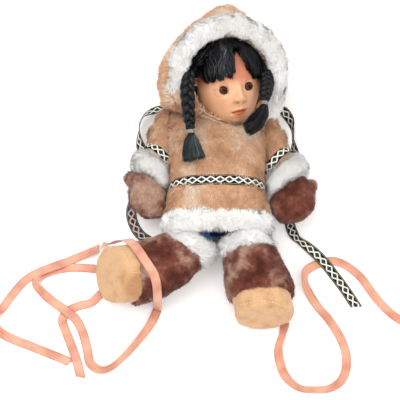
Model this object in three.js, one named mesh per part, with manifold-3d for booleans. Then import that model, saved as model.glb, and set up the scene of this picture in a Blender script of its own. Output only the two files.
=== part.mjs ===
// A child doll in a fur parka, mittens and fur boots, lying on its back with its harness and tie
// ribbons spread around it. Millimetres: +X is the doll's left, +Y its head, +Z its front.
import * as THREE from 'three';
import { mergeVertices } from 'three/addons/utils/BufferGeometryUtils.js';
import Module from 'manifold-3d';

const wasm = await Module();
wasm.setup();

// Gaps between pieces: sewn or seated ones, hinged ones, and the neck bowl that the head turns in.
// The soft ruff leans over the left shoulder, so more room is left there.
const seatGap = 0.3;
const hingeGap = 0.6;
const bowlGap = 0.8;
const leftShoulderGap = 5.5;

// Coat: from hem to shoulder, its width and depth at the chest, and its thickness of fur and lining.
const coatLength = 156;
const coatWidth = 110;
const coatDepth = 80;
const coatWall = 6;
const beltPlace = -9;
const beltWidth = 12;
const beltThickness = 1;
const skirtEnd = -42;
const hemEnd = -59;
const hemSwell = 3;
const bodyEnd = -20;
const bodyTop = 84;
const pantsEnd = -57;

// Neck: the middle of its base, the tilt and turn of the head, and the porcelain shoulder plate.
const neckX = 17;
const neckY = 75;
const neckZ = 42.6;
const headRiseDegrees = 23;
const headLeanDegrees = 5;
const headTurnDegrees = 18;
const neckRadius = 15;
const neckDepth = 8;
const plateRadius = 26;
const plateThickness = 11;
const bowlFloor = -12;
const bowlRadius = 75;
const bowlRise = 30;

// Head: its half width, half height and half depth, and the middle of the skull above the neck base.
const headHalfWidth = 37;
const headHalfHeight = 49;
const jawDrop = 54;
const headHalfDepth = 37;
const headPlace = 50;
const noseLength = 8.5;
const eyeRadius = 10;
const eyeSpread = 13.9;
const eyeDrop = 7;
const eyeDepth = 23.5;
const hairThickness = 6;
const hairlineDepth = 6;
const napeDrop = 30;
const fringeDrop = 4;
const fringeThickness = 5.5;

// Hood: an egg of fur round the hair, and the white ruff round its opening.
const hoodHalfWidth = 74;
const hoodHalfHeight = 88;
const hoodHalfDepth = 60;
const hoodShift = -6;
const hoodPeakShift = 14;
const hoodRise = 5;
const hoodMouthDepth = 18;
const hoodPeakShare = 0.55;
const hoodSeamPlace = 51;
const ruffHalfWidth = 63;
const ruffHalfHeight = 58;
const ruffShift = -5;
const ruffPlace = 57;
const ruffDepth = 20;
const ruffLean = 10;
const ruffThickness = 10;
const ruffSwell = 1.5;

// Braids, their silver ties and their loose ends.
const braidRadius = 7.5;
const braidTieRadius = 5;
const tasselRadius = 12;

// Arms: the shoulder's place, and the sizes of limb, sleeve, ribbon, cuff and mitten.
const armPlane = 55.7;
const hipPlane = 59.5;
const shoulderY = 71;
const shoulderDrop = 5;
const shoulderZ = 31;
const leftArmSpread = 5;
const shoulderRadius = 29;
const shoulderCap = 18;
const armRadius = 11;
const armStubRadius = 10.5;
const armStubDepth = 4;
const sleeveLength = 42;
const sleeveWidth = 40;
const sleeveDepth = 57;
const sleeveTiltDegrees = 40;
const sleeveRibbonWidth = 12;
const sleeveRibbonThickness = 1;
const cuffWidth = 54;
const cuffDepth = 52;
const mittenWidth = 52;
const mittenDepth = 40;
const thumbLength = 19;
const thumbRadius = 9;
const armRaiseDegrees = 75;
const sleeveRibbonShare = 0.72;
const thumbPlaceShares = { right: 0.1, left: 0.22 };

// Legs: the hip hinge, the stuffed limb and the parts of a boot.
const hipX = 30;
const hipY = -62;
const hipZ = 32;
const thighRadius = 23;
const legRadius = 17;
const hipSweepRadius = 36;
const hipBackRadius = 29;
const legLiftDegrees = 70;
const bootLength = 100;
const bootRadius = 31;
const bootTopLength = 15;
const bootTopSwell = 1.5;
const soleRadius = 32;
const soleThickness = 3;
const sideStripLength = 22;

// Ribbons that lie free: two woven harness ribbons and the satin ties of the boots.
const ribbonWidth = 12;
const ribbonThickness = 0.8;

const degree = Math.PI / 180;
const coatSides = 18;
const limbSides = 12;
const overrun = coatLength;

// Coat outline: along, half width, lowest and highest, as shares of its length, width and depth.
const coatShares = [
  [-0.415, 0.518, 0.02, 0.75],
  [-0.359, 0.54, -0.02, 0.83],
  [-0.295, 0.54, -0.03, 0.89],
  [-0.192, 0.53, -0.03, 0.96],
  [-0.11, 0.508, -0.02, 0.99],
  [-0.058, 0.488, 0.024, 0.985],
  [-0.005, 0.492, -0.02, 1.01],
  [0.096, 0.498, -0.03, 1.03],
  [0.256, 0.5, -0.03, 1.0],
  [0.385, 0.5, -0.03, 0.93],
  [0.481, 0.5, -0.03, 0.84],
  [0.551, 0.49, -0.02, 0.72],
  [0.6, 0.44, 0.04, 0.56],
];

function point(x, y, z) {
  return new THREE.Vector3(x, y, z);
}

// Reads a table of rows at any place along its first column, with smooth steps between rows.
function rowAt(rows, place) {
  const last = rows.length - 1;
  let k = 0;
  while (k < last - 1 && rows[k + 1][0] < place) k += 1;
  const span = rows[k + 1][0] - rows[k][0];
  const t = THREE.MathUtils.clamp((place - rows[k][0]) / span, 0, 1);
  const before = rows[Math.max(k - 1, 0)];
  const after = rows[Math.min(k + 2, last)];
  return rows[k].map((a, i) => {
    const b = rows[k + 1][i];
    const leave = (b - before[i]) / 2;
    const arrive = (after[i] - a) / 2;
    const t2 = t * t;
    const t3 = t2 * t;
    return a * (2 * t3 - 3 * t2 + 1) + leave * (t3 - 2 * t2 + t) + b * (3 * t2 - 2 * t3) + arrive * (t3 - t2);
  });
}

// One ring of points round a middle, from two half axes; squareness 1 is round and less is boxy.
function ring(middle, across, up, sides = limbSides, squareness = 1) {
  const points = [];
  for (let i = 0; i < sides; i += 1) {
    const angle = (i / sides) * 2 * Math.PI;
    const c = Math.cos(angle);
    const s = Math.sin(angle);
    const along = Math.sign(c) * Math.abs(c) ** squareness;
    const over = Math.sign(s) * Math.abs(s) ** squareness;
    points.push(middle.clone().addScaledVector(across, along).addScaledVector(up, over));
  }
  return points;
}

// A closed body through rings with the same number of points; a looped one joins its two ends.
function loft(rings, looped = false) {
  const sides = rings[0].length;
  const points = rings.flat();
  const faces = [];
  const bands = looped ? rings.length : rings.length - 1;
  for (let r = 0; r < bands; r += 1) {
    const next = (r + 1) % rings.length;
    for (let i = 0; i < sides; i += 1) {
      const j = (i + 1) % sides;
      faces.push(r * sides + i, r * sides + j, next * sides + j);
      faces.push(r * sides + i, next * sides + j, next * sides + i);
    }
  }
  if (!looped) {
    for (const [r, turn] of [[0, 1], [rings.length - 1, -1]]) {
      const middle = rings[r].reduce((sum, p) => sum.add(p), point(0, 0, 0)).divideScalar(sides);
      points.push(middle);
      for (let i = 0; i < sides; i += 1) {
        const j = (i + 1) % sides;
        const pair = turn > 0 ? [r * sides + j, r * sides + i] : [r * sides + i, r * sides + j];
        faces.push(points.length - 1, ...pair);
      }
    }
  }
  const geometry = new THREE.BufferGeometry();
  geometry.setAttribute('position', new THREE.Float32BufferAttribute(points.flatMap((p) => p.toArray()), 3));
  geometry.setIndex(faces);
  return geometry;
}

// Six times the volume that a closed geometry holds; it is negative where its faces point inward.
function signedVolume(geometry) {
  const at = geometry.getAttribute('position');
  const index = geometry.getIndex();
  let sum = 0;
  for (let f = 0; f < index.count; f += 3) {
    const [a, b, c] = [0, 1, 2].map((k) => new THREE.Vector3().fromBufferAttribute(at, index.getX(f + k)));
    sum += a.dot(b.cross(c));
  }
  return sum;
}

// Turns a closed geometry into a solid that can be joined and cut, with its faces outward.
function solid(geometry) {
  const bare = geometry.clone();
  bare.deleteAttribute('normal');
  bare.deleteAttribute('uv');
  const merged = mergeVertices(bare);
  const triVerts = new Uint32Array(merged.getIndex().array);
  if (signedVolume(merged) < 0) triVerts.reverse();
  const vertProperties = new Float32Array(merged.getAttribute('position').array);
  return new wasm.Manifold(new wasm.Mesh({ numProp: 3, vertProperties, triVerts }));
}

function geometryOf(body) {
  const mesh = body.getMesh();
  const geometry = new THREE.BufferGeometry();
  geometry.setAttribute('position', new THREE.Float32BufferAttribute(mesh.vertProperties, 3));
  geometry.setIndex([...mesh.triVerts]);
  return geometry;
}

// A box between two corners, as a solid.
function block(low, high) {
  const size = high.clone().sub(low);
  const middle = low.clone().add(high).multiplyScalar(0.5);
  const geometry = new THREE.BoxGeometry(size.x, size.y, size.z);
  return solid(geometry.translate(middle.x, middle.y, middle.z));
}

// A round disc or stub between two places along an axis of the frame, as a solid.
function stub(axis, from, to, radius, middle, sides = limbSides) {
  const across = axis === 'x' ? point(0, radius, 0) : point(radius, 0, 0);
  const up = axis === 'z' ? point(0, radius, 0) : point(0, 0, radius);
  const ends = [from, to].map((place) => {
    const centre = middle.clone();
    centre[axis] = place;
    return ring(centre, across, up, sides);
  });
  return solid(loft(ends));
}

const ground = block(point(-2 * overrun, -2 * overrun, -overrun), point(2 * overrun, 2 * overrun, 0));

const doll = new THREE.Group();

// Adds a named piece with its own finish to a group, and gives back its solid.
function piece(parent, name, body, color, roughness, metalness = 0) {
  const material = new THREE.MeshStandardMaterial({ color, roughness, metalness, flatShading: true });
  const mesh = new THREE.Mesh(geometryOf(body), material);
  mesh.name = name;
  parent.add(mesh);
  return body;
}

const tanFur = '#c79c78';
const whiteFur = '#f4ece6';
const brownFur = '#80503f';
const suede = '#dcae84';
const skin = '#c98760';
const hair = '#17161c';
const weave = '#2f3a42';
const satin = '#dd9f82';
const silver = '#bfc5c9';
const denim = '#1f5c8f';
const calico = '#d9cbb8';
const glass = '#3a1710';

// The head's own frame: X to the doll's left, Y up its neck and Z out of its face.
const head = new THREE.Group();
head.position.set(neckX, neckY, neckZ);
const headBasis = new THREE.Matrix4()
  .makeRotationX((90 - headRiseDegrees) * -degree + 90 * degree)
  .multiply(new THREE.Matrix4().makeRotationZ(headLeanDegrees * degree))
  .multiply(new THREE.Matrix4().makeRotationY(headTurnDegrees * degree));
head.quaternion.setFromRotationMatrix(headBasis);
head.updateMatrixWorld(true);
doll.add(head);

// The bowl in which the head turns, a body of revolution round the neck; lift raises its surface.
function bowl(lift) {
  const profile = [
    [0, bowlFloor + lift],
    [plateRadius, bowlFloor + lift],
    [plateRadius * 1.25, bowlRise * 0.2 + lift],
    [plateRadius * 1.7, bowlRise * 0.55 + lift],
    [bowlRadius, bowlRise + lift],
    [bowlRadius * 1.6, bowlRise * 1.4 + lift],
    [bowlRadius * 1.6, -overrun],
    [0, -overrun],
  ];
  return new THREE.LatheGeometry(profile.map(([r, y]) => new THREE.Vector2(r, y)), 28);
}
const bowlBelow = solid(bowl(0));
const bowlInFrame = solid(bowl(-bowlGap).applyMatrix4(head.matrixWorld));

// The room under the bowl for a sleeve, however far its arm is raised about the shoulder.
function sleeveRoom(shoulder, above) {
  let room = null;
  for (const share of [0, 0.25, 0.5, 0.75, 1]) {
    const turned = bowl(-bowlGap - hingeGap - above).applyMatrix4(head.matrixWorld);
    turned.translate(-shoulder.x, -shoulder.y, -shoulder.z).rotateX(share * armRaiseDegrees * degree);
    const turnedRoom = solid(turned.translate(shoulder.x, shoulder.y, shoulder.z));
    room = room ? room.intersect(turnedRoom) : turnedRoom;
  }
  return room;
}

// Coat rings between two places, drawn in by an inset, which may be negative.
function coatRings(from, to, steps, insets) {
  const rings = [];
  for (let k = 0; k <= steps; k += 1) {
    const y = from + ((to - from) * k) / steps;
    const inset = typeof insets === 'number' ? insets : insets(k / steps);
    const [, wide, low, high] = rowAt(coatShares, y / coatLength);
    const middle = point(0, y, ((low + high) / 2) * coatDepth);
    const across = point(wide * coatWidth - inset, 0, 0);
    const up = point(0, 0, ((high - low) / 2) * coatDepth - inset);
    rings.push(ring(middle, across, up, coatSides, 0.72));
  }
  return rings;
}
const coatTop = coatShares[coatShares.length - 1][0] * coatLength;
const lining = coatWall + seatGap;
const insideCoat = (inset) => solid(loft(coatRings(hemEnd - coatWall, bodyTop + seatGap, 11, inset)));
const slice = (from, to) => block(point(-overrun, from, -overrun), point(overrun, to, overrun));

// Stuffed cloth body inside the coat, with pockets for the arm stubs and the shoulder plate.
const shoulders = [-1, 1].map((side) => (
  point(side * armPlane, shoulderY - Math.max(side, 0) * shoulderDrop, shoulderZ)));
const bodySide = (coatWidth / 2) - coatWall;
const plateTop = bowlFloor - bowlGap;
const plateGeometry = (grow) => new THREE.CylinderGeometry(
  plateRadius + grow, plateRadius + grow, plateThickness + 2 * grow, 20,
).translate(0, plateTop - plateThickness / 2, 0);
const plateInFrame = (grow) => solid(plateGeometry(grow).applyMatrix4(head.matrixWorld));
const neckHole = (grow, depth) => new THREE.CylinderGeometry(
  neckRadius + grow, neckRadius + grow, depth + bowlGap, 18,
).translate(0, bowlFloor - (depth + bowlGap) / 2 + bowlGap, 0);

let clothBody = insideCoat(lining).intersect(slice(bodyEnd, bodyTop)).intersect(bowlInFrame);
clothBody = clothBody.subtract(plateInFrame(seatGap));
for (const shoulder of shoulders) {
  const side = Math.sign(shoulder.x);
  clothBody = clothBody.subtract(
    stub('x', side * (bodySide - armStubDepth), side * overrun, armStubRadius + hingeGap, shoulder),
  );
}
piece(doll, 'cloth_body', clothBody, calico, 0.9);

let plate = plateInFrame(0).subtract(
  solid(neckHole(hingeGap, neckDepth + hingeGap).applyMatrix4(head.matrixWorld)),
);
for (const shoulder of shoulders) {
  const side = Math.sign(shoulder.x);
  const pocket = side * (bodySide - armStubDepth + seatGap);
  plate = plate.subtract(stub('x', pocket, side * overrun, armStubRadius + hingeGap, shoulder));
}
piece(doll, 'shoulder_plate', plate, skin, 0.35);

// Coat above the belt seam: a fur shell open at the neck, with an armhole on each side.
let coat = solid(loft(coatRings(beltPlace, coatTop, 7, 0)));
coat = coat.subtract(insideCoat(coatWall));
coat = coat.subtract(ground).intersect(bowlInFrame).subtract(plateInFrame(seatGap));
for (const shoulder of shoulders) {
  const side = Math.sign(shoulder.x);
  const armhole = armStubRadius + hingeGap;
  coat = coat.subtract(stub('x', side * (bodySide - shoulderCap), side * overrun, armhole, shoulder));
}
piece(doll, 'parka_body', coat, tanFur, 0.95);

// Woven ribbon sewn round the waist, over the seam.
const beltHalf = beltWidth / 2;
const belt = solid(loft(coatRings(beltPlace - beltHalf, beltPlace + beltHalf, 2, -seatGap - beltThickness)))
  .subtract(solid(loft(coatRings(beltPlace - beltWidth, beltPlace + beltWidth, 4, -seatGap))))
  .subtract(ground);
piece(doll, 'waist_ribbon', belt, weave, 0.8);

// Legs in the doll's frame: middles of the boot's rings, which way each faces, and its radius.
// Columns: share along, X, Y and Z from the hip, facing X, Y and Z, radius share.
const rightLegShares = [
  [0, 0.02, -0.03, -0.01, -0.5, -0.86, 0, 0.86],
  [0.16, -0.09, -0.13, -0.02, -0.62, -0.78, 0, 0.9],
  [0.34, -0.24, -0.25, 0, -0.75, -0.66, 0.03, 1.0],
  [0.56, -0.46, -0.36, 0, -0.88, -0.46, 0.12, 1.1],
  [0.78, -0.66, -0.41, -0.01, -0.88, -0.3, 0.36, 1.12],
  [1, -0.87, -0.43, 0.03, -0.8, -0.23, 0.55, 1.0],
];
const leftLegShares = [
  [0, 0.02, -0.02, -0.01, 0.16, -0.98, 0, 0.86],
  [0.16, 0.06, -0.15, -0.02, 0.2, -0.98, 0, 0.93],
  [0.34, 0.1, -0.31, 0, 0.16, -0.98, 0, 1.02],
  [0.56, 0.15, -0.5, 0.03, 0.1, -0.99, 0, 1.14],
  [0.78, 0.19, -0.68, 0.03, 0.06, -0.99, 0.04, 1.16],
  [1, 0.22, -0.9, 0.01, 0.05, -0.99, 0.14, 1.0],
];

// Rings of one leg between two shares along it, at a radius worked out from the boot's own.
function legRings(shares, hip, from, to, steps, radiusAt, sides = limbSides) {
  const rings = [];
  for (let k = 0; k <= steps; k += 1) {
    const along = from + ((to - from) * k) / steps;
    const [, x, y, z, fx, fy, fz, share] = rowAt(shares, along);
    const middle = point(x, y, z).multiplyScalar(bootLength).add(hip);
    const facing = point(fx, fy, fz).normalize();
    const across = point(0, 0, 1).cross(facing).normalize();
    const up = facing.clone().cross(across);
    const radius = radiusAt(share * bootRadius, k / steps);
    rings.push(ring(middle, across.multiplyScalar(radius), up.multiplyScalar(radius), sides));
  }
  return rings;
}

const bootTopShare = bootTopLength / bootLength;
const bootGapShare = seatGap / bootLength;
const bulge = (t) => Math.sin(Math.PI * t);
const legs = {};
for (const [name, shares, side] of [['right', rightLegShares, -1], ['left', leftLegShares, 1]]) {
  const hip = point(side * hipX, hipY, hipZ);
  const outer = (from, to, steps, grow = 0) => solid(loft(
    legRings(shares, hip, from, to, steps, (radius) => radius + grow),
  ));
  const limbRings = legRings(shares, hip, 0, 1, 5, (radius, t) => legRadius * (1 + 0.15 * bulge(t)), 10);
  const thighBall = (radius, sides) => solid(
    new THREE.SphereGeometry(radius, sides, 8).rotateZ(90 * degree).translate(hip.x, hip.y, hip.z),
  );
  const thigh = thighBall(thighRadius, 14);
  const limb = solid(loft(limbRings));
  const thighRoom = thighBall(thighRadius + seatGap, 14);
  const grownRings = legRings(shares, hip, -bootGapShare, 1 + bootGapShare, 5, (radius, t) => (
    legRadius * (1 + 0.15 * bulge(t)) + 2 * seatGap), 10);
  const limbRoom = solid(loft(grownRings)).add(thighRoom);
  const swing = thighBall(thighRadius + hingeGap, 24);
  legs[name] = { hip, shares, outer, limb: limb.subtract(thighRoom), thigh, limbRoom, swing };
}

const topRings = (leg, grow) => legRings(
  leg.shares, leg.hip, 0, bootTopShare, 4, (radius, t) => radius + bootTopSwell * bulge(t) + grow,
);
function bootFilling(leg) {
  const topRoom = topRings(leg, 2 * seatGap);
  const shaftRoom = legRings(leg.shares, leg.hip, bootTopShare, 1, 5, (radius) => radius + 2 * seatGap);
  const facing = point(...leg.shares[0].slice(4, 7)).normalize();
  const start = topRoom[0].map((p) => p.clone().addScaledVector(facing, -2 * seatGap));
  return solid(loft([start, ...topRoom, ...shaftRoom.slice(1)])).add(leg.limbRoom);
}

// Coat below the belt seam and its white hem, both resting on the boots, which dent them.
const bootRoom = bootFilling(legs.right).add(bootFilling(legs.left));
let skirt = solid(loft(coatRings(beltPlace - seatGap, skirtEnd, 3, 0)));
skirt = skirt.subtract(insideCoat(coatWall));
skirt = skirt.subtract(ground).subtract(bootRoom);
piece(doll, 'parka_skirt', skirt, tanFur, 0.95);

const hemOuter = coatRings(skirtEnd - seatGap, hemEnd, 4, (t) => -hemSwell * bulge(t));
const hem = solid(loft(hemOuter)).subtract(insideCoat(coatWall)).subtract(ground).subtract(bootRoom);
piece(doll, 'hem_ruff', hem, whiteFur, 0.95);

// Trouser seat: it cradles the thighs from behind and leaves the legs their way up.
let seat = insideCoat(lining).intersect(slice(pantsEnd, bodyEnd - seatGap));
const sweepShape = new THREE.Shape();
sweepShape.absarc(0, 0, hipSweepRadius, (95 + legLiftDegrees) * degree, -40 * degree, true);
sweepShape.absarc(0, 0, hipBackRadius, -40 * degree, (legLiftDegrees - 265) * degree, true);
sweepShape.closePath();
const sweepGeometry = new THREE.ExtrudeGeometry(sweepShape, {
  depth: 2 * coatWidth, bevelEnabled: false, curveSegments: 16,
});
sweepGeometry.applyMatrix4(new THREE.Matrix4().makeBasis(point(0, -1, 0), point(0, 0, 1), point(-1, 0, 0)));
sweepGeometry.translate(coatWidth, hipY, hipZ);
seat = seat.subtract(solid(sweepGeometry)).subtract(ground);
seat = seat.subtract(legs.right.swing).subtract(legs.left.swing).subtract(bootRoom);
piece(doll, 'trouser_seat', seat, denim, 0.85);

// Each leg: the stuffed limb, white fur boot top, brown fur shaft, suede side strip and sole.
const stripShare = sideStripLength / bootLength;
for (const [name, leg] of Object.entries(legs)) {
  const { outer, limb, thigh, limbRoom, shares, hip } = leg;
  const room = limbRoom.add(ground);
  piece(doll, `${name}_trouser_leg`, thigh.subtract(ground), denim, 0.85);
  piece(doll, `${name}_leg`, limb.subtract(ground), calico, 0.9);
  piece(doll, `${name}_boot_top_fur`, solid(loft(topRings(leg, 0))).subtract(room), whiteFur, 0.95);
  const shaft = outer(bootTopShare + bootGapShare, 1 - stripShare - bootGapShare, 5);
  piece(doll, `${name}_boot_shaft`, shaft.subtract(room), brownFur, 0.95);
  const soleScale = soleRadius / bootRadius;
  const stripRings = legRings(shares, hip, 1 - stripShare, 1 - bootGapShare, 2, () => bootRadius * soleScale);
  piece(doll, `${name}_boot_side_strip`, solid(loft(stripRings)).subtract(room), suede, 0.9);
  const last = legRings(shares, hip, 1, 1, 1, () => soleRadius)[0];
  const facing = point(...shares[shares.length - 1].slice(4, 7)).normalize();
  const soleRings = [seatGap, soleThickness * 0.6, soleThickness].map((lift, k) => {
    const middle = last.reduce((sum, p) => sum.add(p), point(0, 0, 0)).divideScalar(last.length);
    const drawn = k === 2 ? 1 - soleThickness / soleRadius : 1;
    const lifted = middle.clone().addScaledVector(facing, lift);
    return last.map((p) => p.clone().sub(middle).multiplyScalar(drawn).add(lifted));
  });
  piece(doll, `${name}_boot_sole`, solid(loft(soleRings)).subtract(ground), suede, 0.9);
}

// Arms in a frame of their own: X outward from the shoulder plane, Y to the head, Z up.
// Columns: share down the sleeve, outward, down, half width, half depth, tilt, as shares.
const sleeveShares = [
  [0, 0.15, 0.02, 0.45, 0.5, 0.3],
  [0.3, 0.17, 0.32, 0.44, 0.5, 0.75],
  [0.65, 0.22, 0.7, 0.48, 0.5, 1],
  [1, 0.33, 1.0, 0.57, 0.49, 1],
];
const cuffShares = [
  [0, 0.33, 1.02, 0.47, 0.52, 1],
  [0.25, 0.36, 1.12, 0.54, 0.56, 1],
  [0.75, 0.43, 1.34, 0.56, 0.57, 0.95],
  [1, 0.46, 1.45, 0.5, 0.5, 0.9],
];
const mittenShares = [
  [0, 0.45, 1.47, 0.4, 0.42, 0.9],
  [0.25, 0.47, 1.66, 0.49, 0.49, 0.8],
  [0.55, 0.52, 1.98, 0.5, 0.5, 0.65],
  [0.8, 0.56, 2.24, 0.44, 0.44, 0.5],
  [0.94, 0.58, 2.4, 0.3, 0.32, 0.45],
  [1, 0.59, 2.46, 0.12, 0.16, 0.4],
];
const armShares = [
  [0, 0.15, 0, 1.15, 1.15, 0.1],
  [0.4, 0.2, 0.66, 1, 1, 0.8],
  [0.7, 0.34, 1.1, 0.9, 0.9, 0.9],
  [0.9, 0.45, 1.6, 0.9, 0.9, 0.8],
  [1, 0.47, 1.75, 0.55, 0.55, 0.8],
];

// Rings of one arm piece; width and depth scale the shares, and grow adds to both.
function armRings(rows, side, shoulder, width, depth, steps, grow = 0, from = 0, to = 1) {
  const rings = [];
  const spread = side > 0 ? leftArmSpread : 0;
  for (let k = 0; k <= steps; k += 1) {
    const [, out, down, halfWide, halfDeep, tilt] = rowAt(rows, from + ((to - from) * k) / steps);
    const middle = point(side * (out * sleeveLength + down * spread), -down * sleeveLength, 0).add(shoulder);
    const angle = tilt * sleeveTiltDegrees * degree;
    const across = point(side * Math.cos(angle), Math.sin(angle), 0).multiplyScalar(halfWide * width + grow);
    rings.push(ring(middle, across, point(0, 0, halfDeep * depth + grow)));
  }
  return rings;
}

for (const [name, side, shoulder] of [['right', -1, shoulders[0]], ['left', 1, shoulders[1]]]) {
  const low = side < 0 ? point(-armPlane, -overrun * 2, -overrun) : point(-overrun, -overrun * 2, -overrun);
  const high = side < 0 ? point(overrun, overrun * 2, overrun) : point(armPlane, overrun * 2, overrun);
  const torsoSide = block(low, high);
  const hipLow = side < 0 ? point(-hipPlane, -overrun, -overrun) : point(-overrun, -overrun, -overrun);
  const hipHigh = point(side < 0 ? overrun : hipPlane, beltPlace + beltWidth, overrun);
  const away = torsoSide.add(ground).add(block(hipLow, hipHigh));
  const stubFrom = side * (bodySide - armStubDepth + hingeGap);
  const armStub = stub('x', stubFrom, side * (armPlane + shoulderCap / 2), armStubRadius, shoulder);
  const armLoft = (grow, shift = 0) => solid(
    loft(armRings(armShares, side, shoulder, armRadius, armRadius, 5, grow)).translate(0, shift, 0),
  );
  const capRings = [0, 0.35, 0.65, 0.87, 1].map((t, k) => {
    const radius = shoulderRadius * Math.sqrt(Math.max(1 - t * t, 0.02));
    const middle = point(side * (armPlane + shoulderCap * t), shoulder.y, shoulder.z);
    return ring(middle, point(0, radius, 0), point(0, 0, radius), 18);
  });
  const cap = solid(loft(capRings));
  const underBowl = sleeveRoom(shoulder, side > 0 ? leftShoulderGap : 0);
  const limb = armLoft(0).subtract(torsoSide).add(armStub).intersect(underBowl).intersect(
    block(point(-overrun, -overrun * 2, 0), point(overrun, overrun * 2, overrun)),
  );
  piece(doll, `${name}_arm`, limb, calico, 0.9);
  const limbRoom = armLoft(seatGap, seatGap).add(armLoft(seatGap, -seatGap)).add(
    stub('x', 0, side * (armPlane + shoulderCap / 2 + seatGap), armStubRadius + seatGap, shoulder),
  );
  const sleeveTube = (grow, from = 0, to = 1, steps = 5) => solid(loft(
    armRings(sleeveShares, side, shoulder, sleeveWidth, sleeveDepth, steps, grow, from, to),
  ));
  const sleeve = sleeveTube(0).add(cap).intersect(underBowl).subtract(away).subtract(limbRoom);
  piece(doll, `${name}_sleeve`, sleeve, tanFur, 0.95);
  const bandHalf = sleeveRibbonWidth / sleeveLength / 2;
  const bandMiddle = sleeveRibbonShare;
  const band = sleeveTube(seatGap + sleeveRibbonThickness, bandMiddle - bandHalf, bandMiddle + bandHalf, 2)
    .subtract(sleeveTube(seatGap)).subtract(cap).subtract(away);
  piece(doll, `${name}_sleeve_ribbon`, band, weave, 0.8);
  const cuffLoft = solid(loft(armRings(cuffShares, side, shoulder, cuffWidth, cuffDepth, 5)));
  const cuff = cuffLoft.subtract(sleeveTube(seatGap, 0.5, 1, 4)).subtract(band).subtract(away)
    .subtract(limbRoom);
  piece(doll, `${name}_cuff`, cuff, whiteFur, 0.95);
  const hand = solid(loft(armRings(mittenShares, side, shoulder, mittenWidth, mittenDepth, 6)));
  const root = rowAt(mittenShares, thumbPlaceShares[name]);
  const thumbOut = root[1] * sleeveLength + root[2] * (side > 0 ? leftArmSpread : 0) + mittenWidth * 0.3;
  const thumbBase = point(side * thumbOut, -root[2] * sleeveLength, 0).add(shoulder);
  const thumbWay = point(side * 0.74, 0.66, -0.1).normalize();
  const thumbRings = [0, 0.5, 0.8, 1].map((t, k) => {
    const radius = thumbRadius * [1, 0.95, 0.72, 0.35][k];
    const middle = thumbBase.clone().addScaledVector(thumbWay, thumbLength * t);
    const across = thumbWay.clone().cross(point(0, 0, 1)).normalize();
    return ring(middle, across.multiplyScalar(radius), point(0, 0, radius), 10);
  });
  const mitten = hand.add(solid(loft(thumbRings))).subtract(
    solid(loft(armRings(cuffShares, side, shoulder, cuffWidth, cuffDepth, 5, seatGap))),
  ).subtract(away).subtract(limbRoom);
  piece(doll, `${name}_mitten`, mitten, brownFur, 0.95);
}

// Head pieces, in the head's own frame.
// Height of the face above an egg, as a share of the nose, at shares of half width and half height.
function faceRelief(across, up) {
  const hill = (x, y, wide, tall) => Math.exp(-((across - x) ** 2) / wide ** 2 - ((up - y) ** 2) / tall ** 2);
  const nose = hill(0, -0.36, 0.15, 0.13) + 0.45 * hill(0, -0.2, 0.1, 0.2);
  const lips = 0.42 * hill(0, -0.64, 0.3, 0.1);
  const chin = 0.5 * hill(0, -0.88, 0.28, 0.12);
  const cheeks = 0.35 * (hill(-0.52, -0.42, 0.3, 0.26) + hill(0.52, -0.42, 0.3, 0.26));
  const sockets = 0.3 * (hill(-0.44, -0.14, 0.2, 0.14) + hill(0.44, -0.14, 0.2, 0.14));
  return nose + lips + chin + cheeks - sockets;
}

// The head as rings up the neck axis, with a jaw narrower than the skull; grow adds all round.
function headGeometry(grow, sides = 22, steps = 16) {
  const rings = [];
  for (let k = 0; k <= steps; k += 1) {
    const latitude = -Math.PI / 2 + (Math.PI * (k + 0.25)) / (steps + 0.5);
    const up = Math.sin(latitude);
    const out = Math.cos(latitude);
    const jaw = 1 - 0.16 * Math.max(0, -up) ** 2;
    const points = [];
    for (let i = 0; i < sides; i += 1) {
      const angle = (i / sides) * 2 * Math.PI;
      const x = Math.sin(angle) * out * jaw;
      const forward = Math.cos(angle) * out;
      const front = Math.max(0, Math.cos(angle));
      const relief = forward > 0 ? faceRelief(x, up) * noseLength * front ** 2 * Math.min(1, out * 2) : 0;
      points.push(point(
        x * (headHalfWidth + grow),
        headPlace + up * ((up < 0 ? jawDrop : headHalfHeight) + grow),
        forward * (headHalfDepth + grow) + relief,
      ));
    }
    rings.push(points);
  }
  return loft(rings);
}
const headShape = solid(headGeometry(0));
const headRoom = solid(headGeometry(seatGap));
const neck = solid(new THREE.CylinderGeometry(
  neckRadius, neckRadius, neckDepth + headPlace, 18,
).translate(0, bowlFloor - neckDepth + (neckDepth + headPlace) / 2, 0));
const neckRoom = solid(new THREE.CylinderGeometry(
  neckRadius + seatGap, neckRadius + seatGap, overrun, 18,
).translate(0, headPlace - overrun / 2, 0));
const eyePlaces = [-1, 1].map((side) => point(side * eyeSpread, headPlace - eyeDrop, eyeDepth));
const ball = (radius, place) => solid(new THREE.SphereGeometry(radius, 14, 8).rotateX(90 * degree)
  .translate(place.x, place.y, place.z));
let headBody = headShape.add(neck);
for (const place of eyePlaces) headBody = headBody.subtract(ball(eyeRadius + seatGap, place));
piece(head, 'head', headBody, skin, 0.45);
piece(head, 'right_eye', ball(eyeRadius, eyePlaces[0]), glass, 0.1);
piece(head, 'left_eye', ball(eyeRadius, eyePlaces[1]), glass, 0.1);

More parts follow.
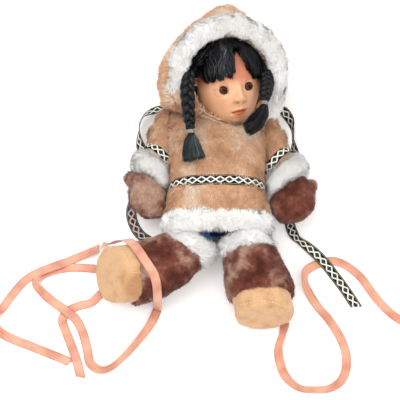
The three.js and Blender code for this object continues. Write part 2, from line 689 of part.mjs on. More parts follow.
// Hair: a cap round the skull behind the hairline, and a fringe over the forehead.
function egg(halfWidth, halfHeight, halfDepth, place, sides, rows, peak = 0, lean = 0) {
  const geometry = new THREE.SphereGeometry(1, sides, rows);
  const at = geometry.getAttribute('position');
  for (let i = 0; i < at.count; i += 1) {
    const drawn = 1 - peak * Math.max(0, at.getY(i)) ** 2.5;
    at.setX(i, at.getX(i) * drawn + lean * Math.max(0, at.getY(i)) ** 2);
    at.setZ(i, at.getZ(i) * drawn);
  }
  return solid(geometry.scale(halfWidth, halfHeight, halfDepth).translate(place.x, place.y, place.z));
}
const hairEgg = (grow) => egg(
  headHalfWidth + hairThickness + grow, headHalfHeight + hairThickness / 2 + grow,
  headHalfDepth + hairThickness + grow, point(0, headPlace + hairThickness / 2, -hairThickness / 3), 20, 12,
);
const hairline = headPlace + fringeDrop;
const beforeHair = block(point(-overrun, -overrun, hairlineDepth), point(overrun, overrun, overrun));
const underHair = block(point(-overrun, -overrun, -overrun), point(overrun, headPlace - napeDrop, overrun));
const wig = hairEgg(0).subtract(headRoom).subtract(beforeHair).subtract(underHair);
piece(head, 'wig', wig, hair, 0.5);
const fringeZone = block(
  point(-overrun, hairline, hairlineDepth + seatGap), point(overrun, overrun, overrun),
);
const fringeEgg = egg(
  headHalfWidth + fringeThickness, headHalfHeight + fringeThickness / 2, headHalfDepth + fringeThickness,
  point(0, headPlace, 0), 20, 12,
);
const fringe = fringeEgg.subtract(headRoom).intersect(fringeZone);

// Braids: each a tapered rope on a few places round the neck, with a tie and a loose end.
// Places are shares of the head's half height: X, Y and Z in the head's frame, then radius share.
const rightBraidShares = [
  [0, -0.98, 1.36, 0.42, 0.8],
  [0.35, -1.15, 0.9, 0.7, 1.1],
  [0.7, -1.21, 0.38, 0.82, 1],
  [1, -1.2, -0.02, 0.82, 0.75],
];
const leftBraidShares = [
  [0, 0.82, 1.2, 0.42, 0.95],
  [0.4, 0.74, 0.92, 0.68, 1.1],
  [0.75, 0.62, 0.68, 0.84, 1],
  [1, 0.56, 0.52, 0.88, 0.75],
];
const rightTasselShares = [
  [0, -1.18, -0.17, 0.84, 0.4],
  [0.3, -1.2, -0.3, 0.87, 0.62],
  [0.8, -1.24, -0.6, 0.94, 1],
  [1, -1.25, -0.74, 0.98, 0.9],
];
const leftTuftShares = [
  [0, 0.53, 0.36, 0.92, 0.32],
  [0.3, 0.42, 0.2, 1.02, 0.48],
  [0.7, 0.18, -0.04, 1.12, 0.6],
  [1, -0.08, -0.18, 1.16, 0.36],
];

// The section of a rope at one of its steps: its middle, the way it runs and its two half axes.
function ropeSection(shares, steps, k) {
  const at = (step) => {
    const row = rowAt(shares, THREE.MathUtils.clamp(step, 0, steps) / steps);
    return { middle: point(row[1], row[2], row[3]).multiplyScalar(headHalfHeight), share: row[4] };
  };
  const { middle, share } = at(k);
  const way = at(k + 1).middle.sub(at(k - 1).middle).normalize();
  const across = way.clone().cross(point(0, 0, 1)).normalize();
  return { middle, share, way, across, up: across.clone().cross(way) };
}

function sectionRing(section, radius, shift, sides) {
  const middle = section.middle.clone().addScaledVector(section.way, shift);
  const across = section.across.clone().multiplyScalar(radius);
  return ring(middle, across, section.up.clone().multiplyScalar(radius), sides);
}

function ropeRings(shares, radius, steps, grow = 0, sides = 10) {
  const rings = [];
  for (let k = 0; k <= steps; k += 1) {
    const section = ropeSection(shares, steps, k);
    rings.push(sectionRing(section, section.share * radius + grow, 0, sides));
  }
  return rings;
}

// A wound tie that fills the space between the end of a braid and the start of its loose end.
function tieBetween(fromShares, fromSteps, toShares, toSteps) {
  const from = ropeSection(fromShares, fromSteps, fromSteps);
  const to = ropeSection(toShares, toSteps, 0);
  return solid(loft([
    sectionRing(from, braidTieRadius, seatGap, 12),
    sectionRing(to, braidTieRadius, -seatGap, 12),
  ]));
}
const braidSteps = 8;
const tasselSteps = 6;
const rightBraid = solid(loft(ropeRings(rightBraidShares, braidRadius, braidSteps)));
const leftBraid = solid(loft(ropeRings(leftBraidShares, braidRadius, braidSteps)));
const leftTuft = solid(loft(ropeRings(leftTuftShares, tasselRadius, tasselSteps)));
const leftTuftRoom = solid(loft(ropeRings(leftTuftShares, tasselRadius, tasselSteps, seatGap)));

// Hood: an egg cut open in front of the face and hollowed to the hair, and its ruff.
const hoodMiddle = point(hoodShift, headPlace + hoodRise, hoodShift);
const hoodEgg = egg(hoodHalfWidth, hoodHalfHeight, hoodHalfDepth, hoodMiddle, 20, 12, hoodPeakShare,
  hoodPeakShift / hoodHalfWidth);
const ruffRings = (grow) => {
  const rings = [];
  const count = 24;
  for (let k = 0; k < count; k += 1) {
    const angle = (k / count) * 2 * Math.PI;
    const outward = point(Math.cos(angle), Math.sin(angle), 0);
    const middle = point(
      ruffShift + ruffHalfWidth * outward.x,
      ruffPlace + ruffHalfHeight * outward.y,
      ruffDepth + ruffLean * outward.y,
    );
    const thickness = ruffThickness + ruffSwell * outward.y + grow;
    rings.push(ring(middle, outward.multiplyScalar(thickness), point(0, 0, thickness), 8));
  }
  return rings;
};
const ruffRoom = solid(loft(ruffRings(seatGap), true));
const mouth = new THREE.CylinderGeometry(1, 1, 1, 20).rotateX(90 * degree)
  .scale(ruffHalfWidth - ruffThickness, ruffHalfHeight - ruffThickness, 2 * hoodHalfDepth)
  .translate(ruffShift, ruffPlace, hoodHalfDepth + hairlineDepth);
const beyondMouth = block(point(-overrun, -overrun, hoodMouthDepth), point(overrun, overrun * 2, overrun));
const groundInHead = solid(new THREE.BoxGeometry(6 * overrun, 6 * overrun, overrun)
  .translate(0, 0, -overrun / 2).applyMatrix4(head.matrixWorld.clone().invert()));
const ropesRoom = solid(loft(ropeRings(rightBraidShares, braidRadius, braidSteps, seatGap)))
  .add(solid(loft(ropeRings(leftBraidShares, braidRadius, braidSteps, seatGap))));
const coatInHead = solid(loft(coatRings(beltPlace, coatTop, 7, -seatGap))
  .applyMatrix4(head.matrixWorld.clone().invert()));
let hood = hoodEgg.subtract(hairEgg(seatGap)).subtract(solid(mouth)).subtract(beyondMouth);
hood = hood.subtract(ruffRoom).subtract(headRoom).subtract(neckRoom).subtract(ropesRoom);
hood = hood.subtract(bowlBelow).subtract(groundInHead);
// The hood's left side panel is sewn on along a seam beside the shoulder.
const beyondSeam = (grow) => solid(new THREE.BoxGeometry(2 * overrun, 6 * overrun, 6 * overrun)
  .translate(hoodSeamPlace - grow + overrun, 0, 0).applyMatrix4(head.matrixWorld.clone().invert()));
const hoodSide = hood.intersect(beyondSeam(0));
hood = hood.subtract(beyondSeam(seatGap));
piece(head, 'fringe', fringe.subtract(ropesRoom), hair, 0.5);
piece(head, 'hood', hood, tanFur, 0.95);
piece(head, 'hood_left_panel', hoodSide, tanFur, 0.95);
const ruff = solid(loft(ruffRings(0), true)).subtract(ropesRoom).subtract(bowlBelow).subtract(headRoom)
  .subtract(neckRoom).subtract(leftTuftRoom);
piece(head, 'hood_ruff', ruff, whiteFur, 0.95);
const hairRoom = hairEgg(seatGap).add(headRoom);
piece(head, 'right_braid', rightBraid.subtract(hairRoom).subtract(coatInHead), hair, 0.5);
piece(head, 'left_braid', leftBraid.subtract(hairRoom), hair, 0.5);
const leftTie = tieBetween(leftBraidShares, braidSteps, leftTuftShares, tasselSteps);
piece(head, 'left_braid_tie', leftTie, silver, 0.3, 0.9);
piece(head, 'left_braid_end', leftTuft.subtract(headRoom), hair, 0.5);
const rightTie = tieBetween(rightBraidShares, braidSteps, rightTasselShares, tasselSteps);
piece(head, 'right_braid_tie', rightTie, silver, 0.3, 0.9);
const rightTassel = solid(loft(ropeRings(rightTasselShares, tasselRadius, tasselSteps)));
piece(head, 'right_braid_end', rightTassel.subtract(coatInHead), hair, 0.5);

// Free ribbons: each row is a place on the route and the degrees that the ribbon stands up there.
const rightHarnessRoute = [
  [-38, 99, 10, 0], [-51, 107, 11, 5], [-66, 112, 12, 10], [-77, 110, 9, 25], [-88, 102, 7, 65],
  [-92, 88, 7, 85], [-92, 73, 6, 60], [-88, 60, 2, 15], [-86, 44, 0, 0], [-88, 24, 0, 0],
  [-95, 4, 0, 0], [-100, -16, 0, 0], [-96, -33, 0, 0], [-88, -45, 0, 0], [-78, -52, 0, 0],
];
const rightHarnessEndRoute = [
  [-46.7, -88.4, 0, 0], [-43.7, -95.4, 0, 0], [-41.7, -102.4, 0, 0],
];
const leftHarnessRoute = [
  [43, 99, 10, 0], [54, 107, 10, 5], [66, 112, 11, 8], [78, 111, 12, 15], [87, 101, 8, 40],
  [91, 86, 7, 80], [91, 70, 7, 85], [93, 55, 3, 35], [92, 38, 0, 0], [88, 14, 0, 0], [85, -10, 0, 0],
  [85, -29, 0, 0], [88, -44, 3, 25], [94, -55, 6, 70], [106, -64, 5, 40], [121, -77, 3, 5],
  [135, -95, 0, 0], [147, -113, 0, 0], [158, -132, 0, 0],
];
const leftTieRoute = [
  [73, -140, 0, 0], [76, -152, 0, 10], [73, -166, 3, 40], [68, -183, 3, 30], [71, -203, 0, 0],
  [78, -219, 4, 40], [90, -229, 5, 60], [104, -231, 5, 60], [123, -229, 4, 50], [135, -221, 3, 30],
  [142, -208, 0, 10], [144, -189, 0, 0], [138, -168, 0, 0], [126, -147, 0, 0], [113, -130, 0, 0],
  [105, -116, 0, 10], [100, -103, 3, 40], [101, -92, 3, 40], [109, -84, 1, 5], [121, -79, 1, 0],
  [134, -77, 1, 0], [148, -82, 0, 0], [165, -97, 0, 0], [174, -111, 0, 0], [185, -127, 0, 0],
  [198, -141, 0, 0], [210, -150, 0, 0],
];
const rightTieShortRoute = [
  [-124, -110, 0, 0], [-133, -117, 0, 0], [-143, -127, 0, 0], [-157, -131, 0, 0], [-169, -137, 0, 0],
  [-175, -147, 0, 0], [-171, -160, 1, 20], [-164, -177, 0, 0], [-159, -190, 2, 0], [-155, -202, 2, 0],
  [-152, -214, 0, 0],
];
const rightTieOuterRoute = [
  [-128, -87, 0, 0], [-141, -86, 0, 0], [-153, -85, 0, 0], [-169, -85, 0, 0], [-186, -88, 0, 0],
  [-200, -94, 0, 0], [-207, -105, 2, 40], [-198, -117, 3, 30], [-186, -127, 3, 0], [-172, -137, 3, 0],
  [-160, -147, 2, 0], [-152, -161, 0, 0], [-146, -181, 0, 0], [-141, -200, 3, 20], [-130, -208, 4, 50],
  [-119, -206, 4, 60], [-105, -194, 4, 60], [-93, -180, 4, 50], [-81, -164, 4, 40],
  [-72, -147.5, 2, 20], [-68.1, -135.7, 0, 0],
];
const rightTieInnerRoute = [
  [-136, -62, 2, 20], [-152, -69, 1, 10], [-169, -76, 0, 0], [-186, -84, 3, 0], [-203, -91, 3, 0],
  [-218, -99, 0, 0], [-232, -116, 0, 0], [-243, -133, 0, 0], [-251, -148, 4, 50], [-245, -162, 3, 30],
  [-228, -171, 0, 0], [-210, -178, 0, 0], [-193, -185, 0, 0], [-178, -191, 0, 0], [-164, -197, 0, 0],
];
// The strand over the right instep: a place on the boot and the way that the boot faces there.
const instepRoute = [
  [-67.5, -134, 1, -0.35, -0.93, 0], [-67.5, -133.8, 12, -0.05, -1, 0.05],
  [-67.4, -133, 24, 0.2, -0.95, 0.15], [-67.2, -131.8, 35, 0.34, -0.87, 0.3],
  [-67.2, -128.6, 46.5, 0.34, -0.8, 0.5], [-67.8, -122.3, 56, 0.28, -0.68, 0.66],
  [-70.8, -113.5, 62.5, 0.15, -0.55, 0.82], [-75.5, -106, 65, -0.05, -0.4, 0.91],
  [-80.5, -98.5, 65.5, -0.2, -0.2, 0.95], [-86, -89.5, 63.5, -0.28, 0.12, 0.95],
  [-91, -81.5, 58.5, -0.3, 0.42, 0.85], [-96, -74.5, 51, -0.3, 0.64, 0.7],
  [-101, -68.5, 42, -0.25, 0.85, 0.45], [-106, -64, 31, -0.2, 0.95, 0.2],
  [-113, -61, 19, -0.1, 0.99, 0.1], [-123, -61, 9.5, 0.1, 0.9, 0.45], [-132, -60, 4, 0, 0.3, 0.95],
];
const ribbons = [
  ['right_harness_ribbon', rightHarnessRoute, weave],
  ['right_harness_end', rightHarnessEndRoute, weave],
  ['left_harness_ribbon', leftHarnessRoute, weave],
  ['left_boot_tie', leftTieRoute, satin],
  ['right_boot_tie_short', rightTieShortRoute, satin],
  ['right_boot_tie_outer', rightTieOuterRoute, satin],
  ['right_boot_tie_inner', rightTieInnerRoute, satin],
];

// A flat ribbon along a route, with its section turned by the degrees in each row.
function ribbonBody(rows, spacing = 2.2 * ribbonWidth) {
  const curve = new THREE.CatmullRomCurve3(rows.map((row) => point(row[0], row[1], row[2])));
  const steps = Math.max(3, Math.ceil(curve.getLength() / spacing));
  const rings = [];
  for (let k = 0; k <= steps; k += 1) {
    const t = k / steps;
    const middle = curve.getPoint(t);
    const way = curve.getTangent(t);
    const place = t * (rows.length - 1);
    const before = Math.min(Math.floor(place), rows.length - 2);
    const stand = THREE.MathUtils.lerp(rows[before][3], rows[before + 1][3], place - before) * degree;
    const side = point(0, 0, 1).cross(way).normalize();
    const up = way.clone().cross(side).normalize();
    const across = side.clone().multiplyScalar(Math.cos(stand)).addScaledVector(up, Math.sin(stand));
    const face = way.clone().cross(across).normalize();
    const reach = Math.abs(across.z) * ribbonWidth + Math.abs(face.z) * ribbonThickness;
    middle.z = Math.max(middle.z, 0) + reach / 2 + seatGap;
    rings.push(flatSection(middle, across, face));
  }
  return solid(loft(rings));
}

// The four corners of a ribbon's section, from the ways its width and its face lie.
function flatSection(middle, across, face) {
  const half = across.clone().multiplyScalar(ribbonWidth / 2);
  const thick = face.clone().multiplyScalar(ribbonThickness / 2);
  return [[1, 1], [-1, 1], [-1, -1], [1, -1]].map(([a, b]) => (
    middle.clone().addScaledVector(half, a).addScaledVector(thick, b)));
}

// A ribbon laid over a boot, with its face turned along the boot's own in each row.
const strapParts = 4;
function strapBody(rows) {
  const curve = new THREE.CatmullRomCurve3(rows.map((row) => point(row[0], row[1], row[2])));
  const rings = rows.map((row, k) => {
    const way = curve.getTangent(k / (rows.length - 1));
    const across = point(row[3], row[4], row[5]).cross(way).normalize();
    const face = way.clone().cross(across).normalize();
    const middle = point(row[0], row[1], row[2]).addScaledVector(face, hingeGap + ribbonThickness / 2);
    return flatSection(middle, across, face);
  });
  const fine = [rings[0]];
  for (let k = 1; k < rings.length; k += 1) {
    for (let part = 1; part <= strapParts; part += 1) {
      fine.push(rings[k].map((p, i) => rings[k - 1][i].clone().lerp(p, part / strapParts)));
    }
  }
  return solid(loft(fine));
}
for (const [name, rows, color] of ribbons) piece(doll, name, ribbonBody(rows), color, 0.8);
piece(doll, 'right_boot_tie_instep', strapBody(instepRoute), satin, 0.8);

export default doll;
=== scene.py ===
"""A child doll in a fur parka, lying on its back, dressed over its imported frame."""

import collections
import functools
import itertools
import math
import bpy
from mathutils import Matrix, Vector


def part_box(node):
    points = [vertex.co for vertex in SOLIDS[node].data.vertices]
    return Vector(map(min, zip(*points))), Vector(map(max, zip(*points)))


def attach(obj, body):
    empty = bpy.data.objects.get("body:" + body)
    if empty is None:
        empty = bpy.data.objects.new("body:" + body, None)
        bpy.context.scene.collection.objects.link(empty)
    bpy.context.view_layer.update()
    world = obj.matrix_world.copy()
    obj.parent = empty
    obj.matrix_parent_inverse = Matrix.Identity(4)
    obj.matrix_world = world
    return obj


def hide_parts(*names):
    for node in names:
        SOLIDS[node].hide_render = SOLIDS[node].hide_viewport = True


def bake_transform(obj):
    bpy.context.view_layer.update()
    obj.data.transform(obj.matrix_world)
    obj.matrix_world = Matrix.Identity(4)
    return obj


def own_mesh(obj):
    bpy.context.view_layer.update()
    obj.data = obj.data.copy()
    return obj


bl_info = {
    "name": "Doll in a Fur Parka",
    "version": (1, 0, 0),
    "blender": (4, 5, 0),
    "location": "3D View > Sidebar > Doll",
    "description": "Dresses the doll in fur, hair, porcelain, suede and ribbons",
    "category": "Add Mesh",
}

import bmesh
import bpy
import numpy as np
from mathutils import Vector
from mathutils.bvhtree import BVHTree

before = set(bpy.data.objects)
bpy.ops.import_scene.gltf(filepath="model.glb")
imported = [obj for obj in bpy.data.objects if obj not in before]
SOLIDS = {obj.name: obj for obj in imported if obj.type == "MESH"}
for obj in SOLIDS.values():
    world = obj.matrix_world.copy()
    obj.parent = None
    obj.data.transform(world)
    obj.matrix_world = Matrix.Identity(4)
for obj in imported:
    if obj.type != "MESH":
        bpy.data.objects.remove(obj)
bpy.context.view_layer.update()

MM = 0.001
PHOTO_SIDE = 400
STRAND_MAP, WEAVE_MAP, BAKE_MAP = "strand", "weave", "OFBake"
SIDES = (("right", -1), ("left", 1))

# The camera: it looks down on the doll from its feet. Angle, distance and target are real sizes.
CAMERA_RISE = math.radians(67.0)
CAMERA_AWAY = np.array([0, -math.cos(CAMERA_RISE), math.sin(CAMERA_RISE)])
CAMERA_UP = np.array([0, math.sin(CAMERA_RISE), math.cos(CAMERA_RISE)])
CAMERA_DISTANCE, CAMERA_TARGET = 1500.0, (-19.5, -12.7, 30.0)
CAMERA_LENS, SENSOR = 117.4, 36.0

# The head's own frame, as its joint holds it: the neck's base and three turns in degrees.
NECK = np.array([17.0, 75.0, 42.6])
HEAD_RISE, HEAD_LEAN, HEAD_TURN = 23.0, 5.0, 18.0


def rotation(axis, degrees):
    """A 3 by 3 turn about X, Y or Z."""
    c, s = math.cos(math.radians(degrees)), math.sin(math.radians(degrees))
    rows = {
        "x": [[1, 0, 0], [0, c, -s], [0, s, c]],
        "y": [[c, 0, s], [0, 1, 0], [-s, 0, c]],
        "z": [[c, -s, 0], [s, c, 0], [0, 0, 1]],
    }
    return np.array(rows[axis], float)


HEAD_AXES = rotation("x", HEAD_RISE) @ rotation("z", HEAD_LEAN) @ rotation("y", HEAD_TURN)


def from_head(points):
    """Points in the head's frame, in millimetres, as points in the doll's frame."""
    points = np.asarray(points, float)
    return (points.reshape(-1, 3) @ HEAD_AXES.T + NECK).reshape(points.shape)


def to_head(points):
    return (np.asarray(points, float) - NECK) @ HEAD_AXES


def unit(vectors):
    vectors = np.asarray(vectors, float)
    return vectors / np.maximum(np.linalg.norm(vectors, axis=-1, keepdims=True), 1e-9)


def smooth_step(share):
    return share * share * (3 - 2 * share)


def run_along(line):
    """How far along a line of points each point is."""
    return np.concatenate([[0], np.cumsum(np.linalg.norm(np.diff(line, axis=0), axis=1))])


def between(places, knots, rows):
    """Rows of numbers, read off at places between their knots."""
    return np.stack([np.interp(places, knots, column) for column in np.transpose(rows)], 1)


def waves(points, size, seed, count=7):
    """Smooth noise from -1 to 1 at points, with lumps about size across, the same every run."""
    rng = np.random.default_rng(seed)
    total = np.zeros(len(points))
    for _ in range(count):
        way = unit(rng.normal(size=3)) * (2 * math.pi / size) * rng.uniform(0.6, 1.4)
        total += np.sin(points @ way + rng.uniform(0, 2 * math.pi))
    return total / math.sqrt(count * 2)


def seed_of(name):
    return sum(ord(letter) for letter in name)


# Sizes and colours that a user would change.
def linear(code):
    """An sRGB hex colour as linear red, green, blue and alpha."""
    parts = [int(code[i : i + 2], 16) / 255 for i in (1, 3, 5)]
    return [p / 12.92 if p <= 0.04045 else ((p + 0.055) / 1.055) ** 2.4 for p in parts] + [1.0]


def length(name, text, default):
    return bpy.props.FloatProperty(name=name, description=text, default=default * MM, unit="LENGTH")


def colour(name, text, code):
    return bpy.props.FloatVectorProperty(
        name=name, description=text, default=linear(code)[:3], subtype="COLOR", size=3, min=0, max=1
    )


class DollSizes(bpy.types.PropertyGroup):
    coat_pile: length("Coat pile", "Length of the tan fur", 6.5)
    trim_pile: length("Trim pile", "Length of the white fur", 6.5)
    boot_pile: length("Boot pile", "Length of the brown fur", 5.5)
    strand_width: length("Strand width", "Width of one lock of fur", 0.95)
    ribbon_width: length("Ribbon width", "Width of woven and satin ribbon", 12.0)
    ribbon_thickness: length("Ribbon thickness", "Thickness of a ribbon", 0.7)
    hair_width: length("Hair width", "Width of one lock of hair", 0.8)
    thread_pitch: length("Thread pitch", "Spacing of the threads that are drawn in cloth", 0.9)


class DollColours(bpy.types.PropertyGroup):
    tan_dark: colour("Tan, dark", "Shaded tan fur", "#BC8B68")
    tan: colour("Tan", "Tan fur", "#DDAA84")
    tan_light: colour("Tan, light", "Tips of the tan fur", "#F2DAC2")
    white_dark: colour("White, dark", "Shaded white fur", "#F8F3ED")
    white: colour("White", "White fur", "#FEFCF9")
    white_light: colour("White, light", "Tips of the white fur", "#FFFFFF")
    brown_dark: colour("Brown, dark", "Shaded brown fur", "#5C281B")
    brown: colour("Brown", "Brown fur", "#8A4C3C")
    brown_light: colour("Brown, light", "Tips of the brown fur", "#C69E88")
    # Pale brown, a painted sheen: the right mitten's fur is drawn paler, as if light falls on it.
    brown_pale: colour("Brown, pale", "Faded fur of the right mitten", "#D2AA92")
    skin: colour("Skin", "Fired porcelain", "#E9B48B")
    # Skin shade colours the warm paint, and the painted shade above the eyes and on the forehead.
    skin_shade: colour("Skin shade", "Painted warmth above the eyes", "#B9563B")
    lips: colour("Lips", "Painted lips", "#CC5C3A")
    hair: colour("Hair", "Hair", "#0B0A0E")
    hair_sheen: colour("Hair sheen", "Lit hair", "#66706F")
    suede: colour("Suede", "Suede of the soles", "#D5A97D")
    # Dark suede: the dark of the brushed clouds, and the painted shade on the right sole.
    suede_dark_and_shade: colour("Suede, dark", "Worn suede at the heel", "#A8754A")
    satin: colour("Satin", "Satin ribbon", "#DFA487")
    satin_fold_shade: colour("Satin, dark", "Satin ribbon in its folds", "#C67B62")
    weave_ground: colour("Weave ground", "Ground of the woven ribbon", "#121418")
    weave_white: colour("Weave white", "White figure of the woven ribbon", "#E4E0D0")
    weave_blue: colour("Weave blue", "Blue figure of the woven ribbon", "#29485F")
    weave_edge: colour("Weave edge", "Edge stripe of the woven ribbon", "#A79F7C")
    cotton: colour("Blue cotton", "Trouser cloth", "#2A6CAA")
    calico: colour("Calico", "Stuffed cloth", "#D9CBB8")
    silver: colour("Silver", "Wound metallic thread", "#A3A19B")
    iris: colour("Iris", "Glass eye", "#5F3317")


def sizes():
    return bpy.context.scene.doll_sizes


def colours(*names):
    group = bpy.context.scene.doll_colours
    found = [[*getattr(group, name), 1.0] for name in names]
    return found[0] if len(found) == 1 else found


# Materials.
def add(tree, kind, *given, out=0, sockets=(), stops=(), **properties):
    """Adds a node, sets its properties, sets or links its sockets, and gives one of its outputs."""
    node = tree.nodes.new("ShaderNode" + kind)
    for key, value in properties.items():
        setattr(node, key, value)
    for key, value in [*enumerate(given), *dict(sockets).items()]:
        if isinstance(value, bpy.types.NodeSocket):
            tree.links.new(value, node.inputs[key])
        else:
            node.inputs[key].default_value = value
    if stops:
        ramp = node.color_ramp.elements
        ramp.remove(ramp[-1])
        ramp[0].position, ramp[0].color = stops[0]
        for place, shade in stops[1:]:
            ramp.new(place).color = shade
    return node.outputs[out] if node.outputs else node


def finish(name, settings, build):
    """A material made once: build(node) adds its nodes and gives what its shader is linked to."""
    if name not in bpy.data.materials:
        material = bpy.data.materials.new(name)
        material.use_nodes = True
        material.node_tree.nodes.clear()
        node = functools.partial(add, material.node_tree)
        shader = node("BsdfPrincipled", sockets={**settings, **build(node)})
        node("OutputMaterial", shader)
    return bpy.data.materials[name]


def grey(value):
    return [value, value, value, 1.0]


def dim(shade, share):
    return [part * share for part in shade[:3]] + [1.0]


Fur = collections.namedtuple("Fur", "finish slot pile tones patch root vary stands")
# Each fur's material, slot, pile length, tones, patch size in mm, painted shade at the roots and on the backing,
# how much its locks vary, and where its tones stand.
FURS = {
    "tan": Fur(
        "brushed_tan_acrylic", "tan_fur", "coat_pile", ("tan_dark", "tan", "tan_light"),
        42, 0.86, 0.18, (0.33, 0.5, 0.68),
    ),
    "white": Fur(
        "white_acrylic", "white_fur", "trim_pile", ("white_dark", "white", "white_light"),
        30, 1.0, 0.04, (0.33, 0.5, 0.68),
    ),
    "brown": Fur(
        "crushed_brown_acrylic", "brown_fur", "boot_pile", ("brown_dark", "brown", "brown_light"),
        34, 0.8, 0.22, (0.35, 0.49, 0.62),
    ),
    # The right mitten's fur: the brown fur's tones moved paler, a painted sheen.
    "sheen_brown": Fur(
        "brown_acrylic_painted_sheen", "brown_fur", "boot_pile", ("brown", "brown_light", "brown_pale"),
        24, 0.8, 0.2, (0.33, 0.5, 0.68),
    ),
}


def fur(kind, strands=True):
    """Acrylic fake fur: brushed patches, painted shade that dulls the roots and the backing, and paler tips give
    the eye its depth.
    """
    own = FURS[kind]

    def build(node):
        place = node("TexCoord", out="Object")
        noise = {"Scale": 1 / (own.patch * MM), "Detail": 3.0, "Roughness": 0.62}
        patches = node("TexNoise", place, out="Fac", sockets=noise)
        tone = node("ValToRGB", patches, stops=list(zip(own.stands, colours(*own.tones))))
        # The backing has the roots' painted shade, as deep under the pile.
        if not strands:
            return {"Base Color": node("MixRGB", 1.0, tone, grey(own.root), blend_type="MULTIPLY")}
        strand = node("SeparateXYZ", node("UVMap", uv_map=STRAND_MAP)).node.outputs
        # Each lock's tone varies at random; along it, painted shade dulls the root, and the tip is paler.
        each = [(0.0, grey(1 - own.vary)), (0.5, grey(1.0)), (1.0, grey(1 + own.vary * 0.7))]
        rise = [(0.0, grey(own.root)), (0.45, grey(0.97)), (1.0, grey(1.04))]
        for stops, way in ((each, "X"), (rise, "Y")):
            shade = node("ValToRGB", strand[way], stops=stops)
            tone = node("MixRGB", 1.0, tone, shade, blend_type="MULTIPLY")
        # Light passes through a lock, so its two faces share the fur's own normal.
        face = node("NewGeometry").node.outputs
        sign = node("Math", face["Backfacing"], -2.0, 1.0, operation="MULTIPLY_ADD")
        facing = node("VectorMath", operation="SCALE", sockets={0: face["Normal"], 3: sign})
        return {"Base Color": tone, "Normal": facing}

    settings = {"Roughness": 0.85, "Specular IOR Level": 0.2, "Sheen Weight": 0.45, "Sheen Roughness": 0.5}
    return finish(own.finish + ("_pile" if strands else "_backing"), settings, build)


def hair_finish(sheen=0.2):
    """Synthetic hair: smooth drawn fibre, so each lock has a hard cool highlight along it; the share of locks set
    by sheen also runs to a paler cool colour, a painted highlight.
    """

    def build(node):
        strand = node("SeparateXYZ", node("UVMap", uv_map=STRAND_MAP))
        dark, lit = colours("hair", "hair_sheen")
        return {"Base Color": node("ValToRGB", strand, stops=[(0.0, dark), (1 - sheen, dark), (1.0, lit)])}

    settings = {"Roughness": 0.36, "Specular IOR Level": 0.3}
    return finish(f"drawn_black_fibre_{round(sheen * 100)}", settings, build)


def woven_ribbon(reverse=False):
    """Jacquard ribbon: raised figures on a black ground with fine edge stripes, dull like cotton."""

    def build(node):
        place = node("SeparateXYZ", node("UVMap", uv_map=WEAVE_MAP)).node.outputs
        # Figures repeat every 10.4 mm: crossed white lines, and a blue diamond between crossings.
        repeat, reach = 10.4, 3.7
        across = node("Math", place["Y"], operation="ABSOLUTE")
        turn = node("Math", node("Math", place["X"], repeat, operation="DIVIDE"), operation="FRACT")
        away = node("Math", node("Math", turn, 0.5, operation="SUBTRACT"), operation="ABSOLUTE")
        wide = node("Math", across, reach, operation="DIVIDE")
        diamond = node("Math", wide, node("Math", away, 2.0, operation="MULTIPLY"), operation="ADD")
        bands = []
        for value, middle, half in ((diamond, 1.0, 0.26), (diamond, 0.36, 0.12), (across, 4.9, 0.22)):
            off = node("Math", node("Math", value, middle, operation="SUBTRACT"), operation="ABSOLUTE")
            bands.append(node("Math", off, half, operation="LESS_THAN"))
        line, heart, stripe = bands
        field = node("Math", across, 3.9, operation="LESS_THAN")
        outer = node("Math", across, 5.2, operation="GREATER_THAN")
        ground, white, blue, edge = colours("weave_ground", "weave_white", "weave_blue", "weave_edge")
        black = ground
        if reverse:
            ground, blue, white = blue, ground, linear("#D9B39A")
        tone = ground
        inner = [node("Math", mask, field, operation="MULTIPLY") for mask in (heart, line)]
        for mask, paint in zip((*inner, stripe, outer), (blue, white, edge, black)):
            tone = node("MixRGB", mask, tone, paint)
        pitch = sizes().thread_pitch / MM
        turns = node("Math", place["X"], 2 * math.pi / pitch, operation="MULTIPLY")
        weft = node("Math", node("Math", turns, operation="SINE"), 0.12, operation="MULTIPLY")
        raised = node("Math", weft, node("Math", line, 0.5, operation="MULTIPLY"), operation="ADD")
        bump = node("Bump", sockets={"Strength": 0.5, "Distance": 0.25 * MM, "Height": raised})
        return {"Base Color": tone, "Normal": bump}

    settings = {"Roughness": 0.8, "Specular IOR Level": 0.2}
    return finish("jacquard_cotton_reverse" if reverse else "jacquard_cotton", settings, build)


def satin():
    """Polyester satin: long warp floats, so it is smooth; noise paints soft light bands along its length, a
    painted sheen, and darker bands, painted shade as of folds.
    """

    def build(node):
        place = node("UVMap", uv_map=WEAVE_MAP)
        stretched = node("Mapping", place, sockets={"Scale": (0.02, 1.6, 1.0)})
        fine = node("TexNoise", stretched, out="Fac", sockets={"Scale": 2.2, "Detail": 2.0})
        broad = node("TexNoise", place, out="Fac", sockets={"Scale": 0.045, "Detail": 1.0})
        half = node("Math", node("Math", fine, broad, operation="ADD"), 0.5, operation="MULTIPLY")
        dark, light = colours("satin_fold_shade", "satin")
        # Painted sheen and painted shade: the dark and light tones in bands.
        tone = node("ValToRGB", half, stops=[(0.0, dark), (0.4, dark), (0.56, light), (1.0, light)])
        bump = node("Bump", sockets={"Strength": 0.15, "Distance": 0.1 * MM, "Height": fine})
        return {"Base Color": tone, "Normal": bump}

    settings = {"Roughness": 0.42, "Specular IOR Level": 0.5, "Sheen Weight": 0.3}
    return finish("polyester_satin", settings, build)


